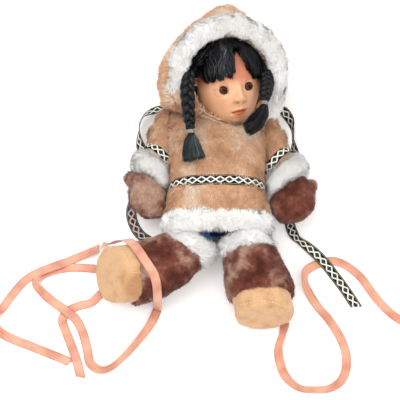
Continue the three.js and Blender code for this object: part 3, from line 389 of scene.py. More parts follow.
def suede():
    """Suede cloth: napped and matte, with soft brushed clouds, a fine grain and painted shade darkening the heel.
    """

    def build(node):
        place = node("TexCoord", out="Object")
        clouds = node("TexNoise", place, out="Fac", sockets={"Scale": 1 / (14 * MM), "Detail": 4.0})
        grain = node("TexNoise", place, out="Fac", sockets={"Scale": 1 / (1.1 * MM), "Detail": 2.0})
        light, dark = colours("suede", "suede_dark_and_shade")
        mid = [(a + b) / 2 for a, b in zip(dark, light)]
        tone = node("ValToRGB", clouds, stops=[(0.0, dark), (0.3, mid), (0.52, light), (1.0, light)])
        # Painted shade: the dark suede where the sole's shade mask is set.
        tone = node("MixRGB", node("Attribute", attribute_name="painted_sole_shade", out="Fac"), tone, dark)
        nap = node("ValToRGB", grain, stops=[(0.35, grey(0.9)), (0.65, grey(1.06))])
        bump = node("Bump", sockets={"Strength": 0.35, "Distance": 0.3 * MM, "Height": grain})
        return {"Base Color": node("MixRGB", 1.0, tone, nap, blend_type="MULTIPLY"), "Normal": bump}

    settings = {"Roughness": 0.9, "Specular IOR Level": 0.2, "Sheen Weight": 0.35, "Sheen Roughness": 0.5}
    return finish("napped_suede", settings, build)


def plain_cloth(name, shade_name):
    """Plain woven cotton: a thread grid, drawn coarser than life so that it shows, and soft fading."""

    def build(node):
        place = node("TexCoord", out="Object")
        checks = {"Scale": 1 / sizes().thread_pitch, "Distortion": 0.4, "Detail": 1.0}
        warp, weft = (
            node("TexWave", place, out="Fac", sockets=checks, bands_direction=way) for way in ("X", "Y")
        )
        fade = node("TexNoise", place, out="Fac", sockets={"Scale": 1 / (11 * MM), "Detail": 3.0})
        shade = colours(shade_name)
        tone = node("ValToRGB", fade, stops=[(0.3, dim(shade, 0.6)), (0.65, shade)])
        grid = node("Math", warp, weft, operation="ADD")
        bump = node("Bump", sockets={"Strength": 0.3, "Distance": 0.2 * MM, "Height": grid})
        return {"Base Color": tone, "Normal": bump}

    return finish(name, {"Roughness": 0.85, "Sheen Weight": 0.15}, build)


def porcelain():
    """Tinted porcelain, fired and hand painted: satin, with airbrushed warmth, lips and dark lines, and painted
    shade above the eyes, over the forehead and in the nostrils.
    """

    def build(node):
        place = node("TexCoord", out="Object")
        clouds = node("TexNoise", place, out="Fac", sockets={"Scale": 1 / (22 * MM), "Detail": 2.0})
        skin, shade, lips = colours("skin", "skin_shade", "lips")
        tone = node("ValToRGB", clouds, stops=[(0.35, dim(skin, 0.93)), (0.65, skin)])
        # The layers: warm paint with painted shade above the eyes and on the forehead, the lips, and dark lines.
        for layer, paint in zip(PAINT_LAYERS, (shade, lips, linear("#4A2016"))):
            tone = node("MixRGB", node("Attribute", attribute_name=layer, out="Fac"), tone, paint)
        return {"Base Color": tone}

    settings = {"Roughness": 0.42, "Specular IOR Level": 0.45, "Subsurface Weight": 0.08}
    return finish("painted_porcelain", {**settings, "Subsurface Scale": 2 * MM}, build)


def eye_glass():
    """Blown glass eye: a wet highlight over a streaked iris, a black pupil and a pale white."""

    def build(node):
        place = node("TexCoord", out="Object")
        streaks = node("TexNoise", place, out="Fac", sockets={"Scale": 1 / (1.2 * MM), "Detail": 2.0})
        iris, black, white = colours("iris"), linear("#0A0605"), linear("#C9AF9C")
        dark = dim(iris, 0.3)
        stands = (0.0, 0.19, 0.24, 0.36, 0.5, 0.6, 0.66, 1.0)
        rings = list(zip(stands, (black, black, dark, iris, dark, black, white, white)))
        tone = node("ValToRGB", node("Attribute", attribute_name="gaze", out="Fac"), stops=rings)
        vary = node("ValToRGB", streaks, stops=[(0.3, grey(0.75)), (0.7, grey(1.2))])
        return {"Base Color": node("MixRGB", 1.0, tone, vary, blend_type="MULTIPLY")}

    settings = {"Roughness": 0.25, "Specular IOR Level": 0.12, "Coat Weight": 0.1, "Coat Roughness": 0.03}
    return finish("blown_glass", settings, build)


def silver_thread():
    """Metallic thread, wound: noise paints bright glints and dark shade into its colour, as of bright wires with
    dark lines between the turns.
    """

    def build(node):
        place = node("TexCoord", out="Object")
        wires = node("TexNoise", place, out="Fac", sockets={"Scale": 1 / (0.9 * MM), "Detail": 1.0})
        shade = colours("silver")
        stops = [(0.42, dim(shade, 0.25)), (0.58, shade), (0.7, dim(shade, 1.5))]
        return {"Base Color": node("ValToRGB", wires, stops=stops)}

    return finish("wound_metallic_thread", {"Roughness": 0.45, "Metallic": 0.35}, build)


def stitch_thread():
    """Waxed cotton thread: pale, round and slightly glossy."""

    def build(node):
        place = node("TexCoord", out="Object")
        twist = node("TexNoise", place, out="Fac", sockets={"Scale": 1 / (0.8 * MM)})
        shade = linear("#EAD9BC")
        return {"Base Color": node("ValToRGB", twist, stops=[(0.3, dim(shade, 0.85)), (0.7, shade)])}

    return finish("waxed_thread_EAD9BC", {"Roughness": 0.6}, build)


def paper():
    """Pale paper sweep: plain and matte, lit a little for the eye alone, so that it stays white."""

    def build(node):
        rays = node("LightPath").node.outputs
        seen = node("Math", rays["Is Camera Ray"], rays["Is Glossy Ray"], operation="MAXIMUM")
        seen = node("Math", seen, rays["Is Transmission Ray"], operation="MAXIMUM")
        return {"Emission Strength": node("Math", seen, 0.22, operation="MULTIPLY")}

    settings = {"Base Color": linear("#F2F0EE"), "Roughness": 0.95, "Emission Color": (1, 1, 1, 1)}
    return finish("matte_paper", settings, build)


# Meshes.
def show(name, data):
    """Puts new data in the scene as an object."""
    piece = bpy.data.objects.new(name, data)
    bpy.context.scene.collection.objects.link(piece)
    return piece


def smooth_faces(mesh, smooth=True):
    mesh.polygons.foreach_set("use_smooth", np.full(len(mesh.polygons), smooth))


def mesh_object(name, points, faces, materials, face_slots=None, smooth=True):
    """A mesh from points in millimetres and faces that all have the same number of corners."""
    faces = np.asarray(faces, np.int32)
    corners = faces.shape[1]
    mesh = bpy.data.meshes.new(name)
    mesh.vertices.add(len(points))
    mesh.vertices.foreach_set("co", (np.asarray(points, np.float64) * MM).astype(np.float32).ravel())
    mesh.loops.add(faces.size)
    mesh.loops.foreach_set("vertex_index", faces.ravel())
    mesh.polygons.add(len(faces))
    mesh.polygons.foreach_set("loop_start", np.arange(0, faces.size, corners, dtype=np.int32))
    mesh.polygons.foreach_set("loop_total", np.full(len(faces), corners, np.int32))
    smooth_faces(mesh, smooth)
    for material in materials:
        mesh.materials.append(material)
    if face_slots is not None:
        mesh.polygons.foreach_set("material_index", np.asarray(face_slots, np.int32))
    mesh.update(calc_edges=True)
    return show(name, mesh)


def read(items, key, width=3, kind=float):
    """One property of all the items of a mesh, a row for each."""
    found = np.zeros(len(items) * width, kind)
    items.foreach_get(key, found)
    return found.reshape(-1, width)


def vertices_of(piece):
    return read(piece.data.vertices, "co") / MM


def move(piece, points):
    """Sets a piece's vertices, in millimetres."""
    piece.data.vertices.foreach_set("co", (points * MM).ravel())
    piece.data.update()


def give_map(piece, name, places):
    """Adds a UV map from a place for each vertex."""
    corners = read(piece.data.loops, "vertex_index", 1, np.int32)[:, 0]
    layer = piece.data.uv_layers.new(name=name)
    layer.data.foreach_set("uv", places[corners].astype(np.float32).ravel())


def give_mask(piece, name, values):
    layer = piece.data.attributes.new(name, "FLOAT", "POINT")
    layer.data.foreach_set("value", np.asarray(values, np.float32))


def seat(piece, body, slot, *nodes):
    """Rides a piece on its body, and hides the nodes that it stands for; its slot is not used."""
    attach(piece, body)
    if nodes:
        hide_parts(*nodes)


def tube_faces(rings, sides):
    """Quads of a tube of rings."""
    grid = np.arange(rings * sides).reshape(rings, sides)
    here, there = grid[:-1], grid[1:]
    return np.stack([here, np.roll(here, -1, 1), np.roll(there, -1, 1), there], -1).reshape(-1, 4)


def tube(path, across, up, sides):
    """Ring points of a tube: path, and its half axes along it, as (rings, 3) arrays."""
    angle = np.linspace(0, 2 * math.pi, sides, endpoint=False)[None, :, None]
    return path[:, None] + np.cos(angle) * across[:, None] + np.sin(angle) * up[:, None]


def drawn_in(ring, share):
    return ring.mean(0) + (ring - ring.mean(0)) * share


def capped_tube(name, rings, material):
    """A closed tube: its end rings are drawn in to their middles by two more rings each."""
    first = [drawn_in(rings[0], share) for share in (0.02, 0.6)]
    last = [drawn_in(rings[-1], share) for share in (0.6, 0.02)]
    whole = np.concatenate([first, rings, last])
    return mesh_object(name, whole.reshape(-1, 3), tube_faces(*whole.shape[:2]), [material])


def strips(name, paths, sides, widths, material, seed, tone=None, plush=None):
    """Many flat locks: paths and sides are (count, steps, 3) arrays, and widths (count, steps).

    tone is each lock's shade from 0 to 1; plush gives each lock the normal of the fur's surface,
    so that a pile of them is shaded softly, as thick fur is.
    """
    count, steps = paths.shape[:2]
    half = sides * widths[..., None] / 2
    points = np.stack([paths - half, paths + half], 2).reshape(-1, 3)
    first = np.arange(count)[:, None, None] * steps * 2 + np.arange(steps - 1)[:, None] * 2
    piece = mesh_object(name, points, (first + [0, 1, 3, 2]).reshape(-1, 4), [material])
    if tone is None:
        tone = np.random.default_rng(seed).uniform(0, 1, count)
    # Each lock has its own cell of the map that bakes use, and its tone and length in the other.
    cells = math.ceil(math.sqrt(count))
    row, column = (k[:, None, None] for k in np.divmod(np.arange(count), cells))
    along, pair = np.linspace(0, 1, steps)[:, None], np.array([0.0, 1.0])
    for title, u, v in (
        (BAKE_MAP, (column + 0.2 + 0.6 * pair) / cells, (row + 0.1 + 0.8 * along) / cells),
        (STRAND_MAP, tone[:, None, None], along + 0 * pair),
    ):
        give_map(piece, title, np.stack(np.broadcast_arrays(u, v), -1).reshape(-1, 2))
    if plush is not None:
        soft = np.repeat(unit(plush), steps * 2, axis=0)
        piece.data.normals_split_custom_set_from_vertices(soft.tolist())
    return piece


def soft_copy(name, nodes, material, voxel=2.0, smoothing=6, inset=0.4, lump=0.7, lump_size=24, seed=1):
    """A softened copy of CAD nodes: remeshed, smoothed, drawn in and gently lumpy."""
    joined = bmesh.new()
    for node in nodes:
        joined.from_mesh(SOLIDS[node].data)
    mesh = bpy.data.meshes.new(name)
    joined.to_mesh(mesh)
    joined.free()
    draft = show(name + ".draft", mesh)
    remesh = draft.modifiers.new("remesh", "REMESH")
    remesh.mode, remesh.voxel_size = "VOXEL", voxel * MM
    ease = draft.modifiers.new("ease", "SMOOTH")
    ease.factor, ease.iterations = 0.5, smoothing
    graph = bpy.context.evaluated_depsgraph_get()
    result = bpy.data.meshes.new_from_object(draft.evaluated_get(graph))
    bpy.data.objects.remove(draft)
    result.name = name
    result.materials.clear()
    result.materials.append(material)
    smooth_faces(result)
    piece = show(name, result)
    points = vertices_of(piece)
    push = lump * waves(points, lump_size, seed) - inset
    points += read(result.vertices, "normal") * push[:, None]
    points[:, 2] = np.maximum(points[:, 2], 0.2)
    move(piece, points)
    return piece


def surface_samples(piece, per_mm2, seed):
    """Random places on a piece, with their normals, spread evenly over its area."""
    mesh = piece.data
    mesh.calc_loop_triangles()
    corners = read(mesh.loop_triangles, "vertices", 3, np.int32)
    points, normals = vertices_of(piece), read(mesh.vertices, "normal")
    a, b, c = (points[corners[:, k]] for k in range(3))
    area = np.linalg.norm(np.cross(b - a, c - a), axis=1) / 2
    rng = np.random.default_rng(seed)
    share = 1.0
    count = max(1, int(area.sum() * per_mm2 * share))
    chosen = rng.choice(len(area), count, p=area / area.sum())
    u, v = rng.uniform(size=(2, count))
    flip = u + v > 1
    u[flip], v[flip] = 1 - u[flip], 1 - v[flip]
    weights = np.stack([1 - u - v, u, v], 1)
    places, facing = (np.einsum("nk,nkj->nj", weights, rows[corners[chosen]]) for rows in (points, normals))
    return places, unit(facing), rng


@functools.cache
def search_tree(*nodes):
    """A search tree over CAD solids, in millimetres."""
    points, faces = [], []
    for node in nodes:
        mesh = SOLIDS[node].data
        faces += [[len(points) + k for k in face.vertices] for face in mesh.polygons]
        points += [v.co / MM for v in mesh.vertices]
    return BVHTree.FromPolygons(points, faces)


# How a lock of fur rises: each step's share of its length and of its lift, and the widths at its points.
LOCK_STEPS = ((0.38, 1.0), (0.36, 0.72), (0.26, 0.4))
LOCK_WIDTHS = np.array([0.8, 1.0, 0.72, 0.12])
# A lock's root is this far inside its backing, and neighbours are looked for from this far outside it.
ROOT_DEPTH, CLEARANCE = 0.4, 2.2 * 0.9


def pile(name, backing, body, kind, share, flow, lift, per_mm2, width=0.75, spread=22.0, wander=0.5,
         seed=1, keep=None):
    """Locks of fur on a backing: they lean along the flow, in clumps, and keep off the neighbours."""
    length_mm = getattr(sizes(), FURS[kind].pile) / MM * share
    places, facing, rng = surface_samples(backing, per_mm2, seed)
    tree = search_tree(*SOLIDS)
    free = np.array([
        tree.ray_cast(Vector(p + n * CLEARANCE), Vector(n), length_mm * 0.5)[0] is None
        for p, n in zip(places, facing)
    ])
    if keep is not None:
        free &= keep(places, facing)
    free &= ~((places[:, 2] < 1.0) & (facing[:, 2] < -0.3))
    places, facing = places[free], facing[free]
    count = len(places)
    way = flow(places, facing) if callable(flow) else np.broadcast_to(np.asarray(flow, float), places.shape)
    way = way + wander * np.stack([waves(places, 16, seed + k) for k in (11, 12, 13)], 1)
    way = unit(way - facing * np.einsum("nj,nj->n", way, facing)[:, None])
    turn = np.radians(rng.normal(0, spread, count))[:, None]
    way = way * np.cos(turn) + np.cross(facing, way) * np.sin(turn)
    rise = np.radians(np.clip(rng.normal(lift, lift * 0.35, count), 4, 85))[:, None]
    rise = rise * (1 + 0.3 * waves(places, 12, seed + 21))[:, None]
    reach = length_mm * rng.uniform(0.65, 1.15, count) * (1 + 0.12 * waves(places, 20, seed + 31))
    paths = [places - facing * ROOT_DEPTH]
    for step, bend in LOCK_STEPS:
        heading = way * np.cos(rise * bend) + facing * np.sin(rise * bend)
        paths.append(paths[-1] + heading * (reach * step)[:, None])
    paths = np.stack(paths, 1)
    paths[..., 2] = np.maximum(paths[..., 2], 0.25)
    roll = np.radians(rng.normal(0, 30, count))[:, None]
    side = np.cross(way, facing) * np.cos(roll) + facing * np.sin(roll)
    strand = sizes().strand_width / MM * width * rng.uniform(0.75, 1.25, count)
    plush = facing + 0.24 * rng.normal(size=facing.shape) + 0.1 * way + np.array([0, -0.1, 0.5])
    sides, widths = np.broadcast_to(side[:, None], paths.shape), strand[:, None] * LOCK_WIDTHS
    locks = strips(name, paths, sides, widths, fur(kind), seed + 5, plush=plush)
    seat(locks, body, FURS[kind].slot)
    return locks


def fur_piece(node, body, kind, share, flow, lift, per_mm2, copy=(), also=(), **hair):
    """One fur piece: its backing stands for its CAD nodes, and its pile rides with it."""
    seed = seed_of(node)
    backing = soft_copy(node + "_backing", [node, *also], fur(kind, False), seed=seed, **dict(copy))
    seat(backing, body, FURS[kind].slot, node, *also)
    pile(node + "_pile", backing, body, kind, share, flow, lift, per_mm2, seed=seed, **hair)


# Ribbons: each row of a route is X, Y, Z in millimetres and how far the ribbon stands on edge.
ROUTES = {
    "right_harness_ribbon": [
        (-38, 99, 10, 0), (-51, 107, 11, 5), (-66, 112, 12, 10), (-77, 110, 9, 25), (-88, 102, 7, 65),
        (-92, 88, 7, 85), (-92, 73, 6, 60), (-88, 60, 2, 15), (-86, 44, 0, 0), (-88, 24, 0, 0),
        (-95, 4, 0, 0), (-100, -16, 0, 0), (-96, -33, 0, 0), (-88, -45, 0, 0), (-78, -52, 0, 0),
    ],
    "right_harness_end": [(-46.7, -88.4, 0, 0), (-43.7, -95.4, 0, 0), (-41.7, -102.4, 0, 0)],
    "left_harness_ribbon": [
        (43, 99, 10, 0), (54, 107, 10, 5), (66, 112, 11, 8), (78, 111, 12, 15), (87, 101, 8, 40),
        (91, 86, 7, 80), (91, 70, 7, 85), (93, 55, 3, 35), (92, 38, 0, 0), (88, 14, 0, 0),
        (85, -10, 0, 0), (85, -29, 0, 0), (88, -44, 3, 25), (94, -55, 6, 70), (106, -64, 5, 40),
        (121, -77, 3, 5), (135, -95, 0, 0), (147, -113, 0, 0), (158, -132, 0, 0),
    ],
    "left_boot_tie": [
        (73, -140, 0, 0), (76, -152, 0, 10), (73, -166, 3, 40), (68, -183, 3, 30), (71, -203, 0, 0),
        (78, -219, 4, 40), (90, -229, 5, 60), (104, -231, 5, 60), (123, -229, 4, 50), (135, -221, 3, 30),
        (142, -208, 0, 10), (144, -189, 0, 0), (138, -168, 0, 0), (126, -147, 0, 0), (113, -130, 0, 0),
        (105, -116, 0, 10), (100, -103, 3, 40), (101, -92, 3, 40), (109, -84, 1, 5), (121, -79, 1, 0),
        (134, -77, 1, 0), (148, -82, 0, 0), (165, -97, 0, 0), (174, -111, 0, 0), (185, -127, 0, 0),
        (198, -141, 0, 0), (210, -150, 0, 0),
    ],
    "right_boot_tie_short": [
        (-124, -110, 0, 0), (-133, -117, 0, 0), (-143, -127, 0, 0), (-157, -131, 0, 0), (-169, -137, 0, 0),
        (-175, -147, 0, 0), (-171, -160, 1, 20), (-164, -177, 0, 0), (-159, -190, 2, 0),
        (-155, -202, 2, 0), (-152, -214, 0, 0),
    ],
    "right_boot_tie_outer": [
        (-128, -87, 0, 0), (-141, -86, 0, 0), (-153, -85, 0, 0), (-169, -85, 0, 0), (-186, -88, 0, 0),
        (-200, -94, 0, 0), (-207, -105, 2, 40), (-198, -117, 3, 30), (-186, -127, 3, 0),
        (-172, -137, 3, 0), (-160, -147, 2, 0), (-152, -161, 0, 0), (-146, -181, 0, 0),
        (-141, -200, 3, 20), (-130, -208, 4, 50), (-119, -206, 4, 60), (-105, -194, 4, 60),
        (-93, -180, 4, 50), (-81, -164, 4, 40), (-72, -147.5, 2, 20), (-68.1, -135.7, 0, 0),
    ],
    "right_boot_tie_inner": [
        (-136, -62, 2, 20), (-152, -69, 1, 10), (-169, -76, 0, 0), (-186, -84, 3, 0), (-203, -91, 3, 0),
        (-218, -99, 0, 0), (-232, -116, 0, 0), (-243, -133, 0, 0), (-251, -148, 4, 50),
        (-245, -162, 3, 30), (-228, -171, 0, 0), (-210, -178, 0, 0), (-193, -185, 0, 0),
        (-178, -191, 0, 0), (-164, -197, 0, 0),
    ],
}
# The strap over the right boot: X, Y, Z, and which way its outer face looks.
INSTEP = [
    (-67.5, -134, 1, -0.35, -0.93, 0), (-67.5, -133.8, 12, -0.05, -1, 0.05),
    (-67.4, -133, 24, 0.2, -0.95, 0.15), (-67.2, -131.8, 35, 0.34, -0.87, 0.3),
    (-67.2, -128.6, 46.5, 0.34, -0.8, 0.5), (-67.8, -122.3, 56, 0.28, -0.68, 0.66),
    (-70.8, -113.5, 62.5, 0.15, -0.55, 0.82), (-75.5, -106, 65, -0.05, -0.4, 0.91),
    (-80.5, -98.5, 65.5, -0.2, -0.2, 0.95), (-86, -89.5, 63.5, -0.28, 0.12, 0.95),
    (-91, -81.5, 58.5, -0.3, 0.42, 0.85), (-96, -74.5, 51, -0.3, 0.64, 0.7),
    (-101, -68.5, 42, -0.25, 0.85, 0.45), (-106, -64, 31, -0.2, 0.95, 0.2),
    (-113, -61, 19, -0.1, 0.99, 0.1), (-123, -61, 9.5, 0.1, 0.9, 0.45), (-132, -60, 4, 0, 0.3, 0.95),
]
# The satin ribbon's width, as a share of the woven one's.
SATIN_SHARE = 0.84
# What each ribbon's far end has: a bare cut end, or the piece that it goes to.
RIBBON_ENDS = {
    "right_harness_ribbon": "object",
    "left_harness_ribbon": "bare",
    "left_boot_tie": "bare",
    "right_boot_tie_short": "bare",
    "right_boot_tie_outer": "object",
    "right_boot_tie_inner": "bare",
}
RIBBON_SPACING = 2.0


def spline(rows, places):
    """Centripetal Catmull-Rom points at places from 0 to 1 through the rows' first three numbers."""
    points = np.array([row[:3] for row in rows], float)
    last = len(points) - 1
    found = []
    for place in places:
        whole = min(int(place * last), last - 1)
        share = place * last - whole
        p1, p2 = points[whole], points[whole + 1]
        p0 = points[whole - 1] if whole > 0 else 2 * p1 - p2
        p3 = points[whole + 2] if whole + 2 <= last else 2 * p2 - p1
        gaps = [max(np.sum((b - a) ** 2) ** 0.25, 1e-4) for a, b in ((p0, p1), (p1, p2), (p2, p3))]
        m1 = ((p1 - p0) / gaps[0] - (p2 - p0) / (gaps[0] + gaps[1]) + (p2 - p1) / gaps[1]) * gaps[1]
        m2 = ((p2 - p1) / gaps[1] - (p3 - p1) / (gaps[1] + gaps[2]) + (p3 - p2) / gaps[2]) * gaps[1]
        c2, c3 = -3 * p1 + 3 * p2 - 2 * m1 - m2, 2 * p1 - 2 * p2 + m1 + m2
        found.append(p1 + m1 * share + c2 * share**2 + c3 * share**3)
    return np.array(found)


def ribbon_lie(rows):
    """Middles, across and face directions of a ribbon lying along a route."""
    steps = max(8, int(run_along(spline(rows, np.linspace(0, 1, 200)))[-1] / RIBBON_SPACING))
    places, knots = np.linspace(0, 1, steps + 1), np.linspace(0, 1, len(rows))
    middle = spline(rows, places)
    way = unit(spline(rows, np.minimum(places + 0.002, 1)) - spline(rows, np.maximum(places - 0.002, 0)))
    held = between(places, knots, [row[3:] for row in rows])
    if len(rows[0]) == 6:
        across = unit(np.cross(held, way))
        face = unit(np.cross(way, across))
        return middle + face * 1.8, across, face
    stand = np.radians(held)
    side = unit(np.cross([0.0, 0, 1], way))
    across = side * np.cos(stand) + np.cross(way, side) * np.sin(stand)
    face = unit(np.cross(way, across))
    width, thick = sizes().ribbon_width / MM, sizes().ribbon_thickness / MM
    reach = np.abs(across[:, 2]) * width + np.abs(face[:, 2]) * thick
    middle[:, 2] = np.maximum(middle[:, 2], 0) + reach / 2 + 0.3
    return middle, across, face


def ribbon_strip(name, lie, woven, seed, curl=0.6, cut=0.0, turned_from=1.0, narrow=1.0):
    """A thin closed ribbon: a rounded section, one finish on top and one below, and millimetre places."""
    middle, across, face = lie
    width, thick = sizes().ribbon_width / MM * narrow, sizes().ribbon_thickness / MM
    count, cross = len(middle), np.linspace(-1, 1, 7)
    bow = curl * waves(middle, 45, seed)
    half = thick / 2 * (1 - 0.35 * cross**6)[:, None]
    rings = []
    for i in range(count):
        lift = bow[i] * (1 - cross**2) * 0.8
        slant = cut * width / 2 * cross if i in (0, count - 1) else 0 * cross
        way = unit(middle[min(i + 1, count - 1)] - middle[max(i - 1, 0)])
        base = middle[i] + across[i] * (cross * width / 2)[:, None]
        base = base + face[i] * lift[:, None] + way * slant[:, None]
        rings.append(np.concatenate([base + face[i] * half, (base - face[i] * half)[::-1]]))
    rings = np.array(rings)
    rings[..., 2] = np.maximum(rings[..., 2], 0.15)
    slots = np.tile([0] * 7 + [1] * 7, count - 1)
    beyond = np.repeat(np.arange(count - 1) > turned_from * count, 14)
    slots = np.where(beyond, 1 - slots, slots)
    cap = np.array([[k, k + 1, 12 - k, 13 - k] for k in range(6)])
    faces = np.concatenate([tube_faces(count, 14), cap[:, ::-1], cap + (count - 1) * 14])
    finishes = [woven_ribbon(), woven_ribbon(True)] if woven else [satin(), satin()]
    piece = mesh_object(name, rings.reshape(-1, 3), faces, finishes, np.concatenate([slots, np.zeros(12, int)]))
    places = np.zeros((count, 14, 2))
    places[..., 0] = run_along(middle)[:, None]
    places[..., 1] = np.concatenate([cross, cross[::-1]]) * width / 2
    give_map(piece, WEAVE_MAP, places.reshape(-1, 2))
    return piece


class DOLL_OT_view(bpy.types.Operator):
    """Sets the camera where the photograph was taken from"""

    bl_idname = "doll.view"
    bl_label = "Camera"

    def execute(self, context):
        away = Vector(CAMERA_AWAY)
        camera = show("doll_camera", bpy.data.cameras.new("doll_camera"))
        camera.data.sensor_width, camera.data.lens = SENSOR, CAMERA_LENS
        camera.location = Vector(CAMERA_TARGET) * MM + away * CAMERA_DISTANCE * MM
        camera.rotation_euler = (-away).to_track_quat("-Z", "Y").to_euler()
        context.scene.camera = camera
        context.scene.view_settings.view_transform = "Standard"
        return {"FINISHED"}


class DOLL_OT_ribbons(bpy.types.Operator):
    """Lays the woven harness and the satin ties along their routes"""

    bl_idname = "doll.ribbons"
    bl_label = "Loose ribbons"

    def execute(self, context):
        tail = ribbon_strip("right_harness_end", ribbon_lie(ROUTES["right_harness_end"]), True, 3)
        seat(tail, "torso", "woven_ribbon", "right_harness_end")
        for seed, (name, far) in enumerate(RIBBON_ENDS.items()):
            woven, with_tail = "harness" in name, name == "right_harness_ribbon"
            lie = ribbon_lie(ROUTES[name])
            narrow = 1.0 if woven else SATIN_SHARE
            piece = ribbon_strip(
                name, lie, woven, seed + 1, cut=0.5 if far == "bare" else 0.0,
                turned_from=0.62 if with_tail else 1.0, narrow=narrow,
            )
            seat(piece, "torso", "woven_ribbon" if woven else "satin_ribbon", name)
            self.declare(piece, lie[0], narrow, far, "loose", [tail] if with_tail else [])
        lie = ribbon_lie(INSTEP)
        strap = ribbon_strip("right_boot_tie_instep", lie, False, 21, curl=0.2, narrow=SATIN_SHARE)
        seat(strap, "right_leg", "satin_ribbon", "right_boot_tie_instep")
        self.declare(strap, lie[0], SATIN_SHARE, "object", "taut", [])
        return {"FINISHED"}

    def declare(self, piece, middle, narrow, far, lay, others):
        path = [tuple(place * MM) for place in middle]
        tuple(path[0])
        float(run_along(middle)[-1]) * MM


# The head: sizes in millimetres in its own frame, where X is the doll's left and Z is out of the face.
HEAD_HALF = (37.0, 49.0, 37.0)
JAW_DROP, HEAD_PLACE, NOSE = 54.0, 50.0, 8.5
EYE_RADIUS = 10.0
# Each eye across, up and out from the middle of the head, and the half width and height of its opening.
EYES = {-1: (-16.6, -10.0, 22.0), 1: (13.9, -7.3, 23.3)}
EYE_WIDE, EYE_TALL = 5.3, 4.7
# The mouth: its middle and half width as shares of the head, and how it tilts.
MOUTH_X, MOUTH_UP, MOUTH_WIDE, MOUTH_TILT = 0.035, -0.65, 0.265, 0.1
PAINT_LAYERS = ("warm_paint_and_shade", "lips", "line")
# Hills and hollows: height as a share of the nose, then place and half sizes as shares of the head. The
# first rows are the nose, its wings, the groove under it, the chin, the cheeks and the eye sockets.
FACE_HILLS = [
    (1.0, 0.01, -0.39, 0.19, 0.13), (0.42, 0, -0.2, 0.11, 0.2), (0.36, -0.165, -0.425, 0.07, 0.055),
    (0.36, 0.175, -0.415, 0.07, 0.055), (-0.12, 0.02, -0.53, 0.035, 0.05), (0.5, 0, -0.88, 0.28, 0.12),
    (0.35, -0.52, -0.42, 0.3, 0.26), (0.35, 0.52, -0.42, 0.3, 0.26), (-0.3, -0.47, -0.18, 0.2, 0.14),
    (-0.3, 0.4, -0.14, 0.2, 0.14),
]
# The same for the mouth, from its middle: the mound, both lips, the line between them and its corners.
MOUTH_HILLS = [
    (0.34, 0, 0, 0.32, 0.11), (0.2, 0, 0.038, 0.2, 0.034), (0.27, 0, -0.048, 0.16, 0.04),
    (-0.24, 0, 0, 0.2, 0.014), (-0.14, -0.25, 0, 0.04, 0.04), (-0.14, 0.25, 0, 0.04, 0.04),
]
# Warm paint: its strength, place and half sizes. Beside the nose, the cheeks, the chin, under the lips.
WARM_PLACES = [
    (0.5, -0.14, -0.46, 0.08, 0.035), (0.5, 0.16, -0.46, 0.08, 0.035), (0.22, -0.5, -0.42, 0.26, 0.2),
    (0.22, 0.5, -0.42, 0.26, 0.2), (0.2, 0, -0.9, 0.25, 0.1), (0.3, MOUTH_X, MOUTH_UP - 0.13, 0.16, 0.03),
]
# Painted shadow in the nostrils: strength, place and half sizes.
NOSTRILS = [(0.6, -0.075, -0.475, 0.04, 0.02), (0.6, 0.095, -0.475, 0.04, 0.02)]


def hills(x, y, rows, join=np.add):
    """Soft round hills at places on the face, added up or with the highest kept."""
    found = [
        high * np.exp(-(((x - at_x) / wide) ** 2) - ((y - at_y) / tall) ** 2)
        for high, at_x, at_y, wide, tall in rows
    ]
    return functools.reduce(join, found)


def relief(x, up):
    """How far the face stands out, as shares of the nose, at shares across and up the head."""
    x_mouth = x - MOUTH_X
    level = up - MOUTH_TILT * x_mouth - MOUTH_UP
    return hills(x, up, FACE_HILLS) + hills(x_mouth, level, MOUTH_HILLS)


def eye_reach(x, y, side):
    """How far a place on the face is from an eye's almond opening: below 1 is inside it."""
    across = (x - EYES[side][0]) / EYE_WIDE
    height = EYE_TALL * np.sqrt(np.clip(1.02 - np.abs(across) ** 2.2, 0.02, None))
    level = y - (HEAD_PLACE + EYES[side][1]) - 0.35 * side * across
    height = np.where(level > 0, height * 1.02, height * 0.92)
    almond = np.maximum(np.abs(across), np.abs(level) / np.maximum(height, 0.2))
    return almond * 0.35 + 0.65 * np.sqrt(across**2 + (level / EYE_TALL) ** 2)


def skull_point(side_angle, latitude, grow=0.0):
    """A place on the smooth skull, at angles round and up it, with the face's relief."""
    up, out = np.sin(latitude), np.cos(latitude)
    x = np.sin(side_angle) * out * (1 - 0.16 * np.maximum(0, -up) ** 2)
    forward = np.cos(side_angle) * out
    front = np.maximum(0, np.cos(side_angle))
    stand = np.where(forward > 0, relief(x, up) * NOSE * front**2 * np.minimum(1, out * 2), 0)
    tall = np.where(up < 0, JAW_DROP, HEAD_HALF[1]) + grow
    places = x * (HEAD_HALF[0] + grow), HEAD_PLACE + up * tall, forward * (HEAD_HALF[2] + grow) + stand
    return np.stack(places, -1), x, up


